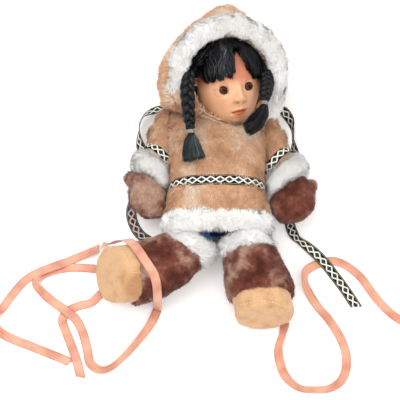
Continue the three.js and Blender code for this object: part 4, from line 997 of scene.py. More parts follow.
class DOLL_OT_head(bpy.types.Operator):
    """Makes the porcelain head with its painted face, and the glass eyes"""

    bl_idname = "doll.head"
    bl_label = "Head and eyes"

    def execute(self, context):
        self.face()
        self.neck()
        for word, side in SIDES:
            self.eye(side, word + "_eye")
        for slot in SOLIDS["shoulder_plate"].material_slots:
            slot.material = porcelain()
        return {"FINISHED"}

    def face(self):
        sides, steps = ((300, 220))
        turn = np.linspace(0, 2 * math.pi, sides, endpoint=False)
        t = (np.arange(steps + 1) + 0.25) / (steps + 0.5)
        latitude = -math.pi / 2 + math.pi * (t + 0.07 * np.sin(2 * math.pi * t))
        angles, heights = np.meshgrid(turn - 0.55 * np.sin(turn), latitude)
        points, x, up = skull_point(angles, heights)
        front = np.cos(angles) > 0
        rims, brows = zip(*(self.socket(points, side) for side in EYES))
        lips, seam = self.mouth(x, up)
        # Dark lines: the lid rims and the line between the lips, with painted shadow in the nostrils.
        marks = hills(x, up, NOSTRILS, np.maximum)
        line = np.maximum.reduce([*rims, 0.7 * seam * front, marks * front])
        # Painted shade over the upper face, above the eyes and on the forehead under the fringe.
        lit = 0.66 * np.clip((up + 0.15) * 4.5, 0, 1)
        warm_paint_and_shade = np.maximum.reduce([*brows, hills(x, up, WARM_PLACES, np.maximum) * front, lit * front])
        poles = from_head([[0, HEAD_PLACE - JAW_DROP, 0], [0, HEAD_PLACE + HEAD_HALF[1], 0]])
        places = np.concatenate([poles[:1], from_head(points).reshape(-1, 3), poles[1:]])
        piece = mesh_object("head_porcelain", places, tube_faces(steps + 1, sides) + 1, [porcelain()])
        for name, mask in zip(PAINT_LAYERS, (warm_paint_and_shade, lips * front * 0.92, np.clip(line, 0, 1))):
            give_mask(piece, name, np.pad(mask.ravel(), 1))
        whole = bmesh.new()
        whole.from_mesh(piece.data)
        whole.verts.ensure_lookup_table()
        corners, top = whole.verts, 1 + steps * sides
        for i in range(sides):
            beside = (i + 1) % sides
            whole.faces.new([corners[0], corners[1 + beside], corners[1 + i]])
            whole.faces.new([corners[len(places) - 1], corners[top + i], corners[top + beside]])
        for face in whole.faces:
            face.smooth = True
        bmesh.ops.recalc_face_normals(whole, faces=whole.faces[:])
        whole.to_mesh(piece.data)
        whole.free()
        seat(piece, "head", "porcelain", "head")

    def socket(self, points, side):
        """Shapes the face round an eye, and gives the eye's painted rim and the painted shade above it."""
        reach = eye_reach(points[..., 0], points[..., 1], side)
        eye_x, eye_up, eye_out = EYES[side]
        out = points[..., 2]
        offset = points - np.array([eye_x, HEAD_PLACE + eye_up, eye_out])
        flat = np.clip(EYE_RADIUS**2 - offset[..., 0] ** 2 - offset[..., 1] ** 2, 0.5, None)
        near = (out > 5) & ((reach < 3.2) | (flat > 0.5))
        above, ball = offset[..., 1] > 0, eye_out + np.sqrt(flat)
        lid = ball + np.where(above, 1.25, 0.8) * np.exp(-((reach - 1.12) ** 2) / 0.16)
        hold = smooth_step(np.clip((2.3 - reach) / 1.1, 0, 1))
        outside = np.maximum(out * (1 - hold) + np.maximum(lid, out - 1) * hold, out - 1)
        # Over the ball, the skin covers it with a soft edge.
        cover = np.where(flat > 0.5, ball + 0.6, -99)
        mix = np.clip(0.5 + (cover - outside) / 5, 0, 1)
        outside = outside * (1 - mix) + cover * mix + 2.5 * mix * (1 - mix)
        edge = np.clip((reach - 0.94) / 0.1, 0, 1)
        points[..., 2] = np.where(near, (ball - 2.2) * (1 - edge) + outside * edge, out)
        rim = np.exp(-(((reach - 1.02) / 0.1) ** 2)) * near * np.where(above, 0.9, 0.55)
        # Painted shade in a band above the eye.
        brow = np.exp(-(((reach - 1.55) / 0.5) ** 2)) * near * np.clip(offset[..., 1] / 2.5, 0, 1)
        return rim, 0.5 * brow

    def mouth(self, x, up):
        """The painted lips, and the line between them."""
        share = (x - MOUTH_X) / MOUTH_WIDE
        level = up - MOUTH_UP - MOUTH_TILT * (x - MOUTH_X) - 0.016 * share**2
        arch = np.clip(1 - share**2, 0, None)
        bow = 1 - 0.28 * np.exp(-((share / 0.14) ** 2))
        top, bottom = 0.058 * arch**0.75 * bow, 0.08 * arch**0.9
        lips = np.clip(np.minimum(top - level, bottom + level) / 0.012, 0, 1) * (arch > 0)
        return lips, np.exp(-((level / 0.009) ** 2)) * np.clip(arch * 4, 0, 1)

    def neck(self):
        heights = np.linspace(-26, 20, 14)[:, None]
        around = np.linspace(0, 2 * math.pi, 40, endpoint=False)
        radius = 13.2 + 1.2 * (np.abs(heights + 3) / 24) ** 2
        rings = np.stack([radius * np.cos(around), heights + 0 * around, radius * np.sin(around)], -1)
        neck = capped_tube("neck_porcelain", from_head(rings), porcelain())
        for name in PAINT_LAYERS:
            give_mask(neck, name, np.zeros(len(neck.data.vertices)))
        seat(neck, "head", "porcelain")

    def eye(self, side, name):
        sides, steps = 64, 60
        around = np.linspace(0, 2 * math.pi, sides, endpoint=False)
        spread = np.linspace(0.01, math.pi - 0.01, steps)
        radius = EYE_RADIUS - 0.25 + 0.45 * np.exp(-((spread / 0.36) ** 2))
        wide, out = (radius * np.sin(spread))[:, None], (radius * np.cos(spread))[:, None]
        rings = np.stack([wide * np.cos(around), wide * np.sin(around), out + 0 * around], -1)
        aim = rotation("y", 2.0 + 1.0 * side) @ rotation("x", 2.0)
        rings = rings @ aim.T + np.array(EYES[side]) + [0, HEAD_PLACE, 0]
        ball = capped_tube(name + "_glass", from_head(rings), eye_glass())
        gaze = np.concatenate([np.zeros(2 * sides), np.repeat(spread, sides), np.full(2 * sides, math.pi)])
        give_mask(ball, "gaze", np.clip(gaze / math.radians(50), 0, 1))
        seat(ball, "head", "eye_glass", name)


# Plaits and tassels: how far along, X, Y and Z as shares of the head's half height, and the thickness.
BRAIDS = {
    "right_braid": [
        (0, -1.07, 1.38, 0.5, 0.8), (0.35, -1.25, 0.92, 0.76, 1.1),
        (0.7, -1.31, 0.38, 0.87, 1), (1, -1.3, -0.02, 0.87, 0.7),
    ],
    "left_braid": [
        (0, 0.82, 1.2, 0.42, 0.95), (0.4, 0.74, 0.92, 0.68, 1.1),
        (0.75, 0.62, 0.68, 0.84, 1), (1, 0.56, 0.52, 0.88, 0.75),
    ],
    "right_braid_end": [
        (0, -1.3, -0.16, 0.88, 0.36), (0.3, -1.31, -0.3, 0.89, 0.72),
        (0.8, -1.32, -0.6, 0.94, 1.05), (1, -1.31, -0.76, 0.98, 1.1),
    ],
    "left_braid_end": [
        (0, 0.53, 0.36, 0.92, 0.42), (0.3, 0.42, 0.2, 1.02, 0.7),
        (0.7, 0.18, -0.04, 1.12, 0.78), (1, -0.06, -0.18, 1.16, 0.5),
    ],
}
BRAID_RADIUS, TASSEL_RADIUS, TIE_RADIUS = 7.5, 12.0, 5.0
# The fringe's clumps, in degrees: where each starts and ends round the head, and how high it ends.
CLUMP_ROOTS = (-84, -76, -69, -62, -54, -46, -39, -32, -25, -17, -8, 1, 8, 16, 27, 38, 48, 60, 71, 82)
CLUMP_TIPS = (-86, -78, -71, -64, -57, -50, -43, -36, -29, -22, -15, -8, 19, 26, 33, 41, 50, 60, 71, 82)
CLUMP_ENDS = (23, 20, 17, 14, 9, 12, 8, 13, 9, 14, 11, 17, 21, 15, 9, 13, 9, 11, 14, 17.0)
# The fringe's parting, in degrees round the head, and where along a lock its curled end begins.
PARTING, CURL_FROM = 6, 0.86


def rope_line(name, places, radius):
    """Middles, way, across, depth and thickness of a plait or tassel at places from 0 to 1."""
    rows = np.array(BRAIDS[name])
    middle = spline(rows[:, 1:4], np.interp(places, rows[:, 0], np.linspace(0, 1, len(rows))))
    middle = from_head(middle * HEAD_HALF[1])
    way = unit(np.gradient(middle, axis=0))
    across = unit(np.cross(way, HEAD_AXES[:, 2]))
    return middle, way, across, unit(np.cross(across, way)), np.interp(places, rows[:, 0], rows[:, 4]) * radius


def turned_flat(side, way, rng, spread):
    """Turns each lock's flat side round its length, by chance."""
    roll = rng.normal(0, spread, len(side))[:, None, None]
    return unit(side * np.cos(roll) + np.cross(way, side) * np.sin(roll))


def lock_widths(rng, low, high, count, thin, width=1.0):
    return sizes().hair_width / MM * width * rng.uniform(low, high, count)[:, None] * thin[None]


def outward(around, latitude, squash):
    """Straight out of the skull, at angles round and up it."""
    out = np.sin(around) * np.cos(latitude), squash * np.sin(latitude), np.cos(around) * np.cos(latitude)
    return unit(np.stack(out, -1))


def undrawn(piece):
    """Gives a solid part of the hair the map that its locks have."""
    give_map(piece, STRAND_MAP, np.full((len(piece.data.vertices), 2), 0.1))


def trim(piece, away):
    """Takes the corners that are marked, and what hangs on them, off a piece."""
    trimmed = bmesh.new()
    trimmed.from_mesh(piece.data)
    trimmed.verts.ensure_lookup_table()
    bmesh.ops.delete(trimmed, geom=[trimmed.verts[i] for i in np.nonzero(away)[0]], context="VERTS")
    trimmed.to_mesh(piece.data)
    trimmed.free()


class DOLL_OT_hair(bpy.types.Operator):
    """Lays the fringe, plaits the two braids, winds their ties and cuts their tassels"""

    bl_idname = "doll.hair"
    bl_label = "Hair"

    def execute(self, context):
        cap = soft_copy("wig_cap", ["wig"], hair_finish(), smoothing=4, lump=0.5)
        own = to_head(vertices_of(cap))
        trim(cap, (own[:, 2] > -2) & (own[:, 1] < HEAD_PLACE + 9))
        undrawn(cap)
        seat(cap, "head", "doll_hair", "wig")
        self.fringe()
        self.plait("right_braid", 5.2, 0.4)
        self.plait("left_braid", 4.0, 1.2)
        self.tie("right_braid", "torso")
        self.tie("left_braid", "head")
        self.tassel("right_braid_end", "torso", 620, 31, 0.95, 0.7, 0.1)
        self.tassel("left_braid_end", "head", 560, 33, 0.3, 2.6, 0.28)
        self.side_hair("right", (-52.0, 67.6, 24.5), (-84, -42), 51)
        self.side_hair("left", (40.2, 58.8, 20.6), (46, 84), 52)
        return {"FINISHED"}

    def fringe(self):
        base = soft_copy("fringe_base", ["fringe"], hair_finish(), voxel=1.5, inset=1.6, lump=0.3)
        own = to_head(vertices_of(base)) - [0, HEAD_PLACE, 0]
        turn_at = np.degrees(np.arctan2(own[:, 0], own[:, 2]))
        bare = 13 * np.clip((34 - own[:, 1]) / 16, 0, 1)
        trim(base, (np.abs(turn_at - PARTING) < bare) | (own[:, 1] < 11))
        undrawn(base)
        seat(base, "head", "doll_hair", "fringe")
        rng = np.random.default_rng(41)
        count = 2600
        chosen = rng.integers(0, len(CLUMP_TIPS), count)
        roots, tips, ends = (np.array(row)[chosen] for row in (CLUMP_ROOTS, CLUMP_TIPS, CLUMP_ENDS))
        clump, root = np.radians(tips), np.radians(roots) + np.radians(rng.normal(0, 4.0, count))
        tip = clump + np.radians(rng.normal(0, 2.0, count))
        end_up = np.radians(ends + rng.normal(0, 1.6, count))
        layer = rng.uniform(0, 1, count)
        t = np.linspace(0, 1, 22)
        fall = np.clip(t / CURL_FROM, 0, 1)[None]
        arch = np.sin(math.pi * fall)
        latitude = np.radians(72) * (1 - fall) + end_up[:, None] * fall
        # Each lock sways with its clump, leans a little, and is pushed out of the parting.
        wind = rng.normal(0, 0.5, count)[:, None]
        sway = np.sin(clump[:, None] * 9 + wind + fall * 8.5) * math.radians(7) * arch
        around = root[:, None] * (1 - fall) + tip[:, None] * fall + sway
        around = around - math.radians(4) * arch * (1 + 0.4 * np.sign(around))
        push = rng.choice([1.0, 1.0, 1.0, 1.0, 0.2], count)[:, None] * math.radians(8)
        push = push * np.exp(-(((around - math.radians(PARTING)) / math.radians(9)) ** 2))
        push = push * np.clip((fall - 0.42) * 4, 0, 1)
        around = around + np.where(around > math.radians(PARTING), push, -push)
        lift = 3.0 + 3.4 * layer[:, None] + 2.4 * np.sin(math.pi * 0.8 * fall)
        smooth = outward(around, latitude, HEAD_HALF[0] / HEAD_HALF[1])
        points = skull_point(around, latitude)[0] + smooth * lift[..., None]
        # The last part of each lock is rolled under.
        curled = t > CURL_FROM
        last = np.argmax(curled) - 1
        bend = np.clip((t - CURL_FROM) / (1 - CURL_FROM), 0, 1) * math.radians(170)
        reach = (4.2 + 1.6 * rng.uniform(size=count))[:, None, None]
        down = unit(points[:, -4] - points[:, -6])[:, None]
        rolled = points[:, last][:, None] + down * np.sin(bend)[:, None] * reach
        rolled = rolled - smooth[:, last][:, None] * ((1 - np.cos(bend)) * 0.55)[:, None] * reach
        points = np.where(curled[:, None], rolled, points)
        floor = skull_point(around, latitude, 0.6)[0]
        behind = (np.einsum("nsk,nsk->ns", points - floor, smooth) < 0) & ~curled
        places = from_head(np.where(behind[..., None], floor, points))
        way = unit(np.gradient(places, axis=1))
        side = turned_flat(unit(np.cross(way, smooth @ HEAD_AXES.T)), way, rng, 0.45)
        thin = np.clip(np.minimum(t * 20, (1 - t) * 14) + 0.25, 0, 1)
        widths = lock_widths(rng, 0.7, 1.4, count, thin)
        # Locks of the clumps near -26 degrees get a painted highlight: their tone is raised towards the lit
        # colour.
        lit = np.exp(-(((clump + math.radians(26)) / math.radians(9)) ** 2))
        tone = np.clip(rng.uniform(0, 0.7, count) + 0.55 * lit * rng.uniform(0, 1, count), 0, 1)
        seat(strips("fringe_locks", places, side, widths, hair_finish(0.3), 42, tone), "head", "doll_hair")

    def side_hair(self, word, end, spread, seed):
        """Hair swept from the crown, out over the side of the head, to where its braid starts."""
        rng = np.random.default_rng(seed)
        count = 1300
        end_around = math.atan2(end[0], end[2])
        end_up = math.asin((end[1] - HEAD_PLACE) / HEAD_HALF[1])
        end_lift = math.hypot(end[0], end[2]) - HEAD_HALF[0] * math.cos(end_up)
        t = np.linspace(0, 1, 20)
        start = np.radians(rng.uniform(*spread, count))[:, None]
        start_up = np.radians(rng.uniform(34, 78, count))[:, None]
        layer = rng.uniform(0, 1, count)[:, None]
        ease = t[None] ** 0.9
        around = start * (1 - ease) + (end_around + np.radians(rng.normal(0, 5, count)))[:, None] * ease
        latitude = start_up * (1 - ease) + (end_up + np.radians(rng.normal(0, 4, count)))[:, None] * ease
        around = around + math.radians(3) * np.sin(t * 6 + start * 14) * np.sin(math.pi * t)[None]
        lift = 4.6 + 2.4 * layer + (end_lift - 7.0 + 3.0 * layer) * (t**1.6)[None]
        out = outward(around, latitude, 0.75)
        places = from_head(skull_point(around, latitude)[0] + out * lift[..., None])
        way = unit(np.gradient(places, axis=1))
        side = turned_flat(unit(np.cross(way, out @ HEAD_AXES.T)), way, rng, 0.5)
        widths = lock_widths(rng, 0.8, 1.5, count, np.clip(np.minimum(t * 14, (1 - t) * 10) + 0.3, 0, 1))
        seat(strips(word + "_side_hair", places, side, widths, hair_finish(0.03), seed), "head", "doll_hair")

    def plait(self, name, lobes, phase):
        """Three locks wound round a core, each a soft tube with loose hair on it."""
        places = np.linspace(0, 1, 150)
        middle, _, across, deep, radius = rope_line(name, places, BRAID_RADIUS)
        core = tube(middle, across * (radius * 0.5)[:, None], deep * (radius * 0.4)[:, None], 12)
        pieces = [capped_tube(name + "_core", core, hair_finish())]
        undrawn(pieces[0])
        thick = radius * 0.5
        for k in range(3):
            turn = places * lobes * math.pi + phase + k * 2 * math.pi / 3
            line = middle + across * (np.sin(turn) * radius * 0.55)[:, None]
            line = line + deep * (np.sin(2 * turn) * radius * 0.36)[:, None]
            heading = unit(np.gradient(line, axis=0))
            wide = unit(np.cross(heading, deep))
            high = unit(np.cross(wide, heading))
            rings = tube(line, wide * (thick * 0.9)[:, None], high * (thick * 0.85)[:, None], 12)
            lock = f"{name}_lock_{k + 1}"
            pieces.append(capped_tube(lock + "_core", rings, hair_finish()))
            undrawn(pieces[-1])
            pieces.append(self.loose_hair(lock, line, wide, high, thick, 50 + k + len(name)))
        for piece in pieces:
            stands_for = [name] if piece is pieces[0] else []
            if name == "left_braid":
                seat(piece, "head", "doll_hair", *stands_for)
                continue
            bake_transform(piece)
            if stands_for:
                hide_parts(name)

    def loose_hair(self, name, middle, across, deep, radius, seed):
        """Hair spread over one lock of a plait, thinning at both its ends."""
        rng = np.random.default_rng(seed)
        count, along = 150, np.linspace(0, 1, len(middle))
        angle = rng.uniform(0, 2 * math.pi, count)[:, None]
        depth = np.sqrt(rng.uniform(0.55, 1.05, count))[:, None]
        turn = (angle + rng.normal(0, 0.25, count)[:, None] * along)[..., None]
        paths = middle + (across * np.cos(turn) + deep * np.sin(turn)) * (radius * depth)[..., None]
        sides = unit(-across * np.sin(turn) + deep * np.cos(turn))
        thin = np.clip(np.minimum(along, 1 - along) * 12 + 0.35, 0, 1)
        return strips(name, paths, sides, lock_widths(rng, 0.7, 1.3, count, thin, 0.95), hair_finish(0.15), seed)

    def tie(self, braid, body):
        """Silver thread wound round the hair between a plait and its tassel."""
        name, ends = braid + "_tie", np.linspace(0, 1, 9)
        start = rope_line(braid, ends, BRAID_RADIUS)[0][-1]
        end = rope_line(braid + "_end", ends, TASSEL_RADIUS)[0][0]
        way = unit(end - start)
        across = unit(np.cross(way, HEAD_AXES[:, 2]))
        deep = np.cross(across, way)
        turns = 4
        t = np.linspace(0, 1, turns * 26)
        angle = (t * turns * 2 * math.pi)[:, None]
        reach = TIE_RADIUS * 0.7 + 0.35 * np.sin(t * 9)
        out = across * np.cos(angle) + deep * np.sin(angle)
        line = start + (end - start) * (0.34 + 0.4 * t)[:, None] + out * reach[:, None]
        high = unit(np.cross(unit(np.gradient(line, axis=0)), out))
        thread = capped_tube(name + "_thread", tube(line, out * 0.75, high * 1.05, 8), silver_thread())
        seat(thread, body, "silver_cord", name)
        middle = start + (end - start) * np.linspace(-0.1, 1.1, 6)[:, None]
        girth = np.array([5.0, 4.0, 3.1, 3.1, 3.8, 4.6])[:, None]
        core = capped_tube(name + "_core", tube(middle, across * girth, deep * girth, 16), hair_finish())
        undrawn(core)
        seat(core, body, "doll_hair")

    def tassel(self, name, body, count, seed, sheen, curl, ragged):
        """Loose hair below a tie, wavy and cut unevenly, round a soft core."""
        steps = 18
        places = np.linspace(0, 1, steps)
        middle, way, across, deep, radius = rope_line(name, places, TASSEL_RADIUS)
        rng = np.random.default_rng(seed)
        inner = (radius * np.linspace(1, 0.45, steps) ** (ragged * 5))[:-1, None]
        core = tube(middle[:-1], across[:-1] * (inner * 0.62), deep[:-1] * (inner * 0.42), 16)
        core = capped_tube(name + "_core", core, hair_finish(sheen * 0.5))
        undrawn(core)
        seat(core, body, "doll_hair", name)
        angle = rng.uniform(0, 2 * math.pi, count)[:, None, None]
        depth = np.sqrt(rng.uniform(0.35, 1.0, count))[:, None]
        wave = curl * np.sin(places * rng.uniform(4, 9, count)[:, None] + rng.uniform(0, 6, count)[:, None])
        spread = radius * depth * (0.92 + 0.1 * places)
        out = across * np.cos(angle) + deep * (0.72 * np.sin(angle))
        paths = middle + out * spread[..., None] + across * (wave * places)[..., None]
        end = 1 - ragged * rng.uniform(0, 1, count) ** 1.5
        paths = paths[:, :1] + (paths - paths[:, :1]) * end[:, None, None]
        sides = turned_flat(unit(-across * np.sin(angle) + deep * np.cos(angle)), way, rng, 0.6)
        widths = lock_widths(rng, 0.9, 1.7, count, np.clip((1.02 - places) * 12, 0.3, 1))
        seat(strips(name + "_locks", paths, sides, widths, hair_finish(sheen), seed), body, "doll_hair")


def middle_of(node):
    low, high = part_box(node)
    return (np.array(low) + np.array(high)) / 2 / MM


# The middle of the hood's opening, in the head's frame.
OPENING = np.array([-5, 57, 0])


class DOLL_OT_hood(bpy.types.Operator):
    """Makes the fur hood and its white ruff"""

    bl_idname = "doll.hood"
    bl_label = "Hood and ruff"

    def execute(self, context):
        def back(places, facing):
            own = to_head(places)
            way = np.stack([own[:, 0] * 0.006, 0.25 + 0 * own[:, 0], -1 + 0 * own[:, 0]], 1)
            return way @ HEAD_AXES.T

        fur_piece("hood", "head", "tan", 1.15, back, 30, 0.7, also=["hood_left_panel"], width=0.8)
        self.ruff()
        return {"FINISHED"}

    def ruff(self):
        """White fur round the face, fluffed inwards too; beside the right braid the tan edge is turned over it."""

        def turned(places):
            own = to_head(places) - OPENING
            angle = np.degrees(np.arctan2(own[:, 1], own[:, 0])) % 360
            angle = angle + 3 * waves(places, 14, 5)
            return (angle > 187) & (angle < 286)

        def brushed(places, facing):
            own = (to_head(places) - OPENING) * [1, 1, 0]
            radial = unit(own) @ HEAD_AXES.T
            along = np.cross(HEAD_AXES[:, 2], radial)
            lean = np.clip(0.5 - 1.2 * np.einsum("nk,nk->n", facing, radial), -0.35, 1)
            return 0.6 * along - radial * lean[:, None] + 0.3 * HEAD_AXES[:, 2]

        backing = soft_copy("hood_ruff_backing", ["hood_ruff"], fur("white", False), inset=0.6, seed=9)
        backing.data.materials.append(fur("tan", False))
        # It spreads over the left shoulder, under the left tassel.
        own = to_head(vertices_of(backing)) - OPENING
        angle = np.degrees(np.arctan2(own[:, 1], own[:, 0]))
        outer = np.clip((np.hypot(own[:, 0], own[:, 1]) - 44) / 12, 0, 1)
        own[:, 1] -= 16 * np.exp(-(((angle + 46) / 17) ** 2)) * outer
        move(backing, from_head(own + OPENING))
        middles = read(backing.data.polygons, "center") / MM
        backing.data.polygons.foreach_set("material_index", turned(middles).astype(np.int32))
        seat(backing, "head", "white_fur", "hood_ruff")
        for name, kind, share, lift, per_mm2, keep in (
            ("hood_ruff_pile", "white", 1.15, 28, 2.3, lambda p, n: ~turned(p) & (n @ HEAD_AXES[:, 2] > -0.15)),
            ("hood_ruff_edge_pile", "tan", 0.6, 16, 1.2, lambda p, n: turned(p) & (to_head(p)[:, 0] < -34)),
        ):
            pile(name, backing, "head", kind, share, brushed, lift, per_mm2, keep=keep, seed=seed_of(name),
                 wander=0.8, spread=24)


def half_of(piece, name, side):
    """The left or right half of a piece, closed where it is cut."""
    half = bmesh.new()
    half.from_mesh(piece.data)
    geometry = half.verts[:] + half.edges[:] + half.faces[:]
    bmesh.ops.bisect_plane(half, geom=geometry, plane_co=(0, 0, 0), plane_no=(-side, 0, 0), clear_outer=True)
    bmesh.ops.holes_fill(half, edges=[edge for edge in half.edges if edge.is_boundary])
    mesh = bpy.data.meshes.new(name)
    half.to_mesh(mesh)
    half.free()
    for material in piece.data.materials:
        mesh.materials.append(material)
    smooth_faces(mesh)
    return show(name, mesh)


class DOLL_OT_coat(bpy.types.Operator):
    """Makes the coat, its skirt and hem in two halves, and the waist ribbon"""

    bl_idname = "doll.coat"
    bl_label = "Coat"

    def execute(self, context):
        self.body()
        self.halves("parka_skirt", "tan", 1.0, [0.0, -1, 0], 20, 1.3)
        level = middle_of("hem_ruff")[1]

        def both_ways(places, facing):
            return facing * [0.3, 0, 0.3] + np.clip((places[:, 1] - level - 2) / 6, -1, 1)[:, None] * [0, 1, 0]

        self.halves("hem_ruff", "white", 1.1, both_ways, 26, 2.0)
        ring_strip("waist_ribbon", "torso", (0, middle_of("waist_ribbon")[1], 38.0), (0, 1, 0), 7, lift=0.5)
        return {"FINISHED"}

    def body(self):
        """The coat's body, with its sides plumped up to the sleeves so that they meet in a soft fold."""
        backing = soft_copy("parka_body_backing", ["parka_body"], fur("tan", False), seed=77)
        points = vertices_of(backing)
        for word, side in SIDES:
            tree = search_tree(word + "_sleeve")
            levels = np.arange(0.0, 96.0, 3.0)
            hits = [tree.ray_cast(Vector((side * 58.5, y, 150)), Vector((0, 0, -1)))[0] for y in levels]
            tops = [0.0 if hit is None else hit[2] - 0.2 for hit in hits]
            top = np.interp(points[:, 1], levels, np.convolve(tops, np.ones(3) / 3, "same"), left=0, right=0)
            share = smooth_step(np.clip((points[:, 0] * side - 34) / 18, 0, 1))
            raised = points[:, 2] * (1 - share) + np.maximum(top, points[:, 2]) * share
            points[:, 2] = np.where(points[:, 2] > 30, raised, points[:, 2])
        move(backing, points)
        seat(backing, "torso", "tan_fur", "parka_body")

        def over_seam(places, facing):
            share = np.clip((np.abs(places[:, 0]) - 42) / 8, 0, 1) * (places[:, 1] > 10)
            return np.stack([0.9 * share * np.sign(places[:, 0]), -1 + 0 * share, -0.1 + 0 * share], 1)

        def off_chin(places, facing):
            chin = search_tree("head")
            return np.array([chin.find_nearest(Vector(place))[3] > 5.5 for place in places])

        pile("parka_body_pile", backing, "torso", "tan", 1.0, over_seam, 22, 1.3, seed=78, keep=off_chin)

    def halves(self, node, kind, share, flow, lift, per_mm2):
        """A part of the coat in two halves, cut down the middle."""
        seed, slot = seed_of(node), FURS[kind].slot
        whole = soft_copy(node + "_whole", [node], fur(kind, False), seed=seed, inset=-0.4)
        for word, side in SIDES:
            backing = half_of(whole, f"{node}_{word}_backing", side)
            seat(backing, "torso", slot, node)
            locks = pile(
                f"{node}_{word}_pile", whole, "torso", kind, share, flow, lift, per_mm2, width=1.0,
                seed=seed + side, keep=lambda p, n, side=side: p[:, 0] * side > 0,
            )
            for piece in (backing, locks):
                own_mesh(piece)
        bpy.data.objects.remove(whole)


# A ring of woven ribbon is felt for from this far out, at this many angles, and drawn this finely.
RING_REACH, RING_ANGLES, RING_SPACING = 150, 180, 2.2


def ring_strip(node, body, middle, axis, seed, lift, narrow=1.0):
    """A woven ribbon sewn round a limb or the waist, on the outside of its CAD band."""
    tree = search_tree(node)
    middle, axis = np.asarray(middle, float), unit(axis)
    first = unit(np.cross(axis, [1.0, 0, 0] if abs(axis[0]) < 0.6 else [0, 0, 1.0]))
    second = np.cross(axis, first)
    found = []
    for angle in np.linspace(0, 2 * math.pi, RING_ANGLES + 1):
        out = first * math.cos(angle) + second * math.sin(angle)
        hit, _, _, far = tree.ray_cast(Vector(middle + out * RING_REACH), Vector(-out), RING_REACH)
        found.append(None if hit is None or far > RING_REACH - 2 else np.array(hit) + out * lift)
    gap = next((i for i, place in enumerate(found) if place is None), None)
    if gap is not None:
        # An open band: its longest run between gaps is drawn.
        found = [found[(gap + k) % RING_ANGLES] for k in range(RING_ANGLES)]
        runs = [list(run) for seen, run in itertools.groupby(found, lambda place: place is not None) if seen]
        found = max(runs, key=len)
    line = np.array(found)
    along = run_along(line)
    line = between(np.linspace(0, along[-1], max(12, int(along[-1] / RING_SPACING))), along, line)
    for _ in range(3):
        line[1:-1] = line[1:-1] * 0.5 + (line[:-2] + line[2:]) * 0.25
    across = np.broadcast_to(axis, line.shape)
    out = unit(np.cross(unit(np.gradient(line, axis=0)), across))
    if np.einsum("nk,nk->", out, line - middle) < 0:
        out, across = -out, -across
    strip = ribbon_strip(node + "_weave", (line, across, out), True, seed, curl=0.25, narrow=narrow)
    seat(strip, body, "woven_ribbon", node)


def band_axis(node):
    """The middle of a band and the way it is wound round."""
    points = np.array([v.co for v in SOLIDS[node].data.vertices]) / MM
    _, _, ways = np.linalg.svd(points - points.mean(0), full_matrices=False)
    return (points.min(0) + points.max(0)) / 2, ways[2]


class DOLL_OT_arms(bpy.types.Operator):
    """Makes the sleeves, their ribbons, the white cuffs, the brown mittens and the cloth arms"""

    bl_idname = "doll.arms"
    bl_label = "Arms"

    def execute(self, context):
        calico = plain_cloth("unbleached_calico", "calico")
        for word, side in SIDES:
            body = word + "_arm"
            shoulder = np.array([side * 55.7, 71.0 if side < 0 else 66.0, 31.0])
            cuff, mitten = middle_of(word + "_cuff"), middle_of(word + "_mitten")
            down = unit(cuff - shoulder)
            middle, axis = band_axis(word + "_sleeve_ribbon")
            axis = axis * np.sign(axis @ down)

            def off_ribbon(places, facing, middle=middle, axis=axis):
                along = (places - middle) @ axis
                return (along < -6.5) | (along > 4.5)

            def fluffed(places, facing, shoulder=shoulder, down=down):
                arm = places - shoulder
                return unit(arm - (arm @ down)[:, None] * down) + down * 0.9

            fur_piece(
                word + "_sleeve", body, "tan", 1.0, down, 26, 1.3, {"inset": -0.4, "smoothing": 5},
                keep=off_ribbon,
            )
            fur_piece(word + "_cuff", body, "white", 1.05, fluffed, 34, 2.2, {"inset": -0.6})
            # The right mitten wears the paler brown with its painted sheen.
            fur_piece(
                word + "_mitten", body, "sheen_brown" if side < 0 else "brown", 1.0, unit(mitten - cuff), 24, 1.7,
                {"inset": 0, "voxel": 1.6, "smoothing": 4},
            )
            ring_strip(word + "_sleeve_ribbon", body, middle, axis, 9 + side, lift=0.9, narrow=0.75)
            limb = soft_copy(body + "_cloth", [body], calico, inset=0.3, lump=0.2)
            seat(limb, body, "calico", body)
        return {"FINISHED"}


# Stitches: where the photograph shows them, in its pixels, as lines of points on a sole.
SEAMS = {
    "right": [
        [(117, 248), (121, 250.5), (124, 254), (127.5, 259.5), (130, 266), (131, 272)],
        [(131, 272), (137, 272.5), (143, 272)],
    ],
    "left": [[(240, 305), (250, 302.5), (261, 300.5), (273, 302.5), (288, 308)]],
}
STITCH_EVERY, STITCH_LONG, STITCH_HIGH = 4.2, 2.2, 0.55
# Painted shade on the suede, darker patches: across and down the photograph, and their size, in its pixels.
SOLE_SHADE_PATCHES = {"right": [(139, 280, 8), (133, 290, 8), (143, 287, 7)], "left": []}


def photo_places(points):
    """Where points in millimetres show in the photograph, in its pixels."""
    arm = points - (np.array(CAMERA_TARGET) + CAMERA_AWAY * CAMERA_DISTANCE)
    deep = -(arm @ CAMERA_AWAY) * SENSOR / 2 / CAMERA_LENS
    return np.stack([arm[:, 0] / deep + 1, 1 - arm @ CAMERA_UP / deep], 1) * PHOTO_SIDE / 2


def photo_ray(px, py):
    """The camera's ray through a place in the photograph, in millimetres."""
    start = np.array(CAMERA_TARGET) + CAMERA_AWAY * CAMERA_DISTANCE
    half = SENSOR / 2 / CAMERA_LENS
    x, y = (px / PHOTO_SIDE * 2 - 1) * half, (1 - py / PHOTO_SIDE * 2) * half
    return start, unit(-CAMERA_AWAY + np.array([1.0, 0, 0]) * x + CAMERA_UP * y)


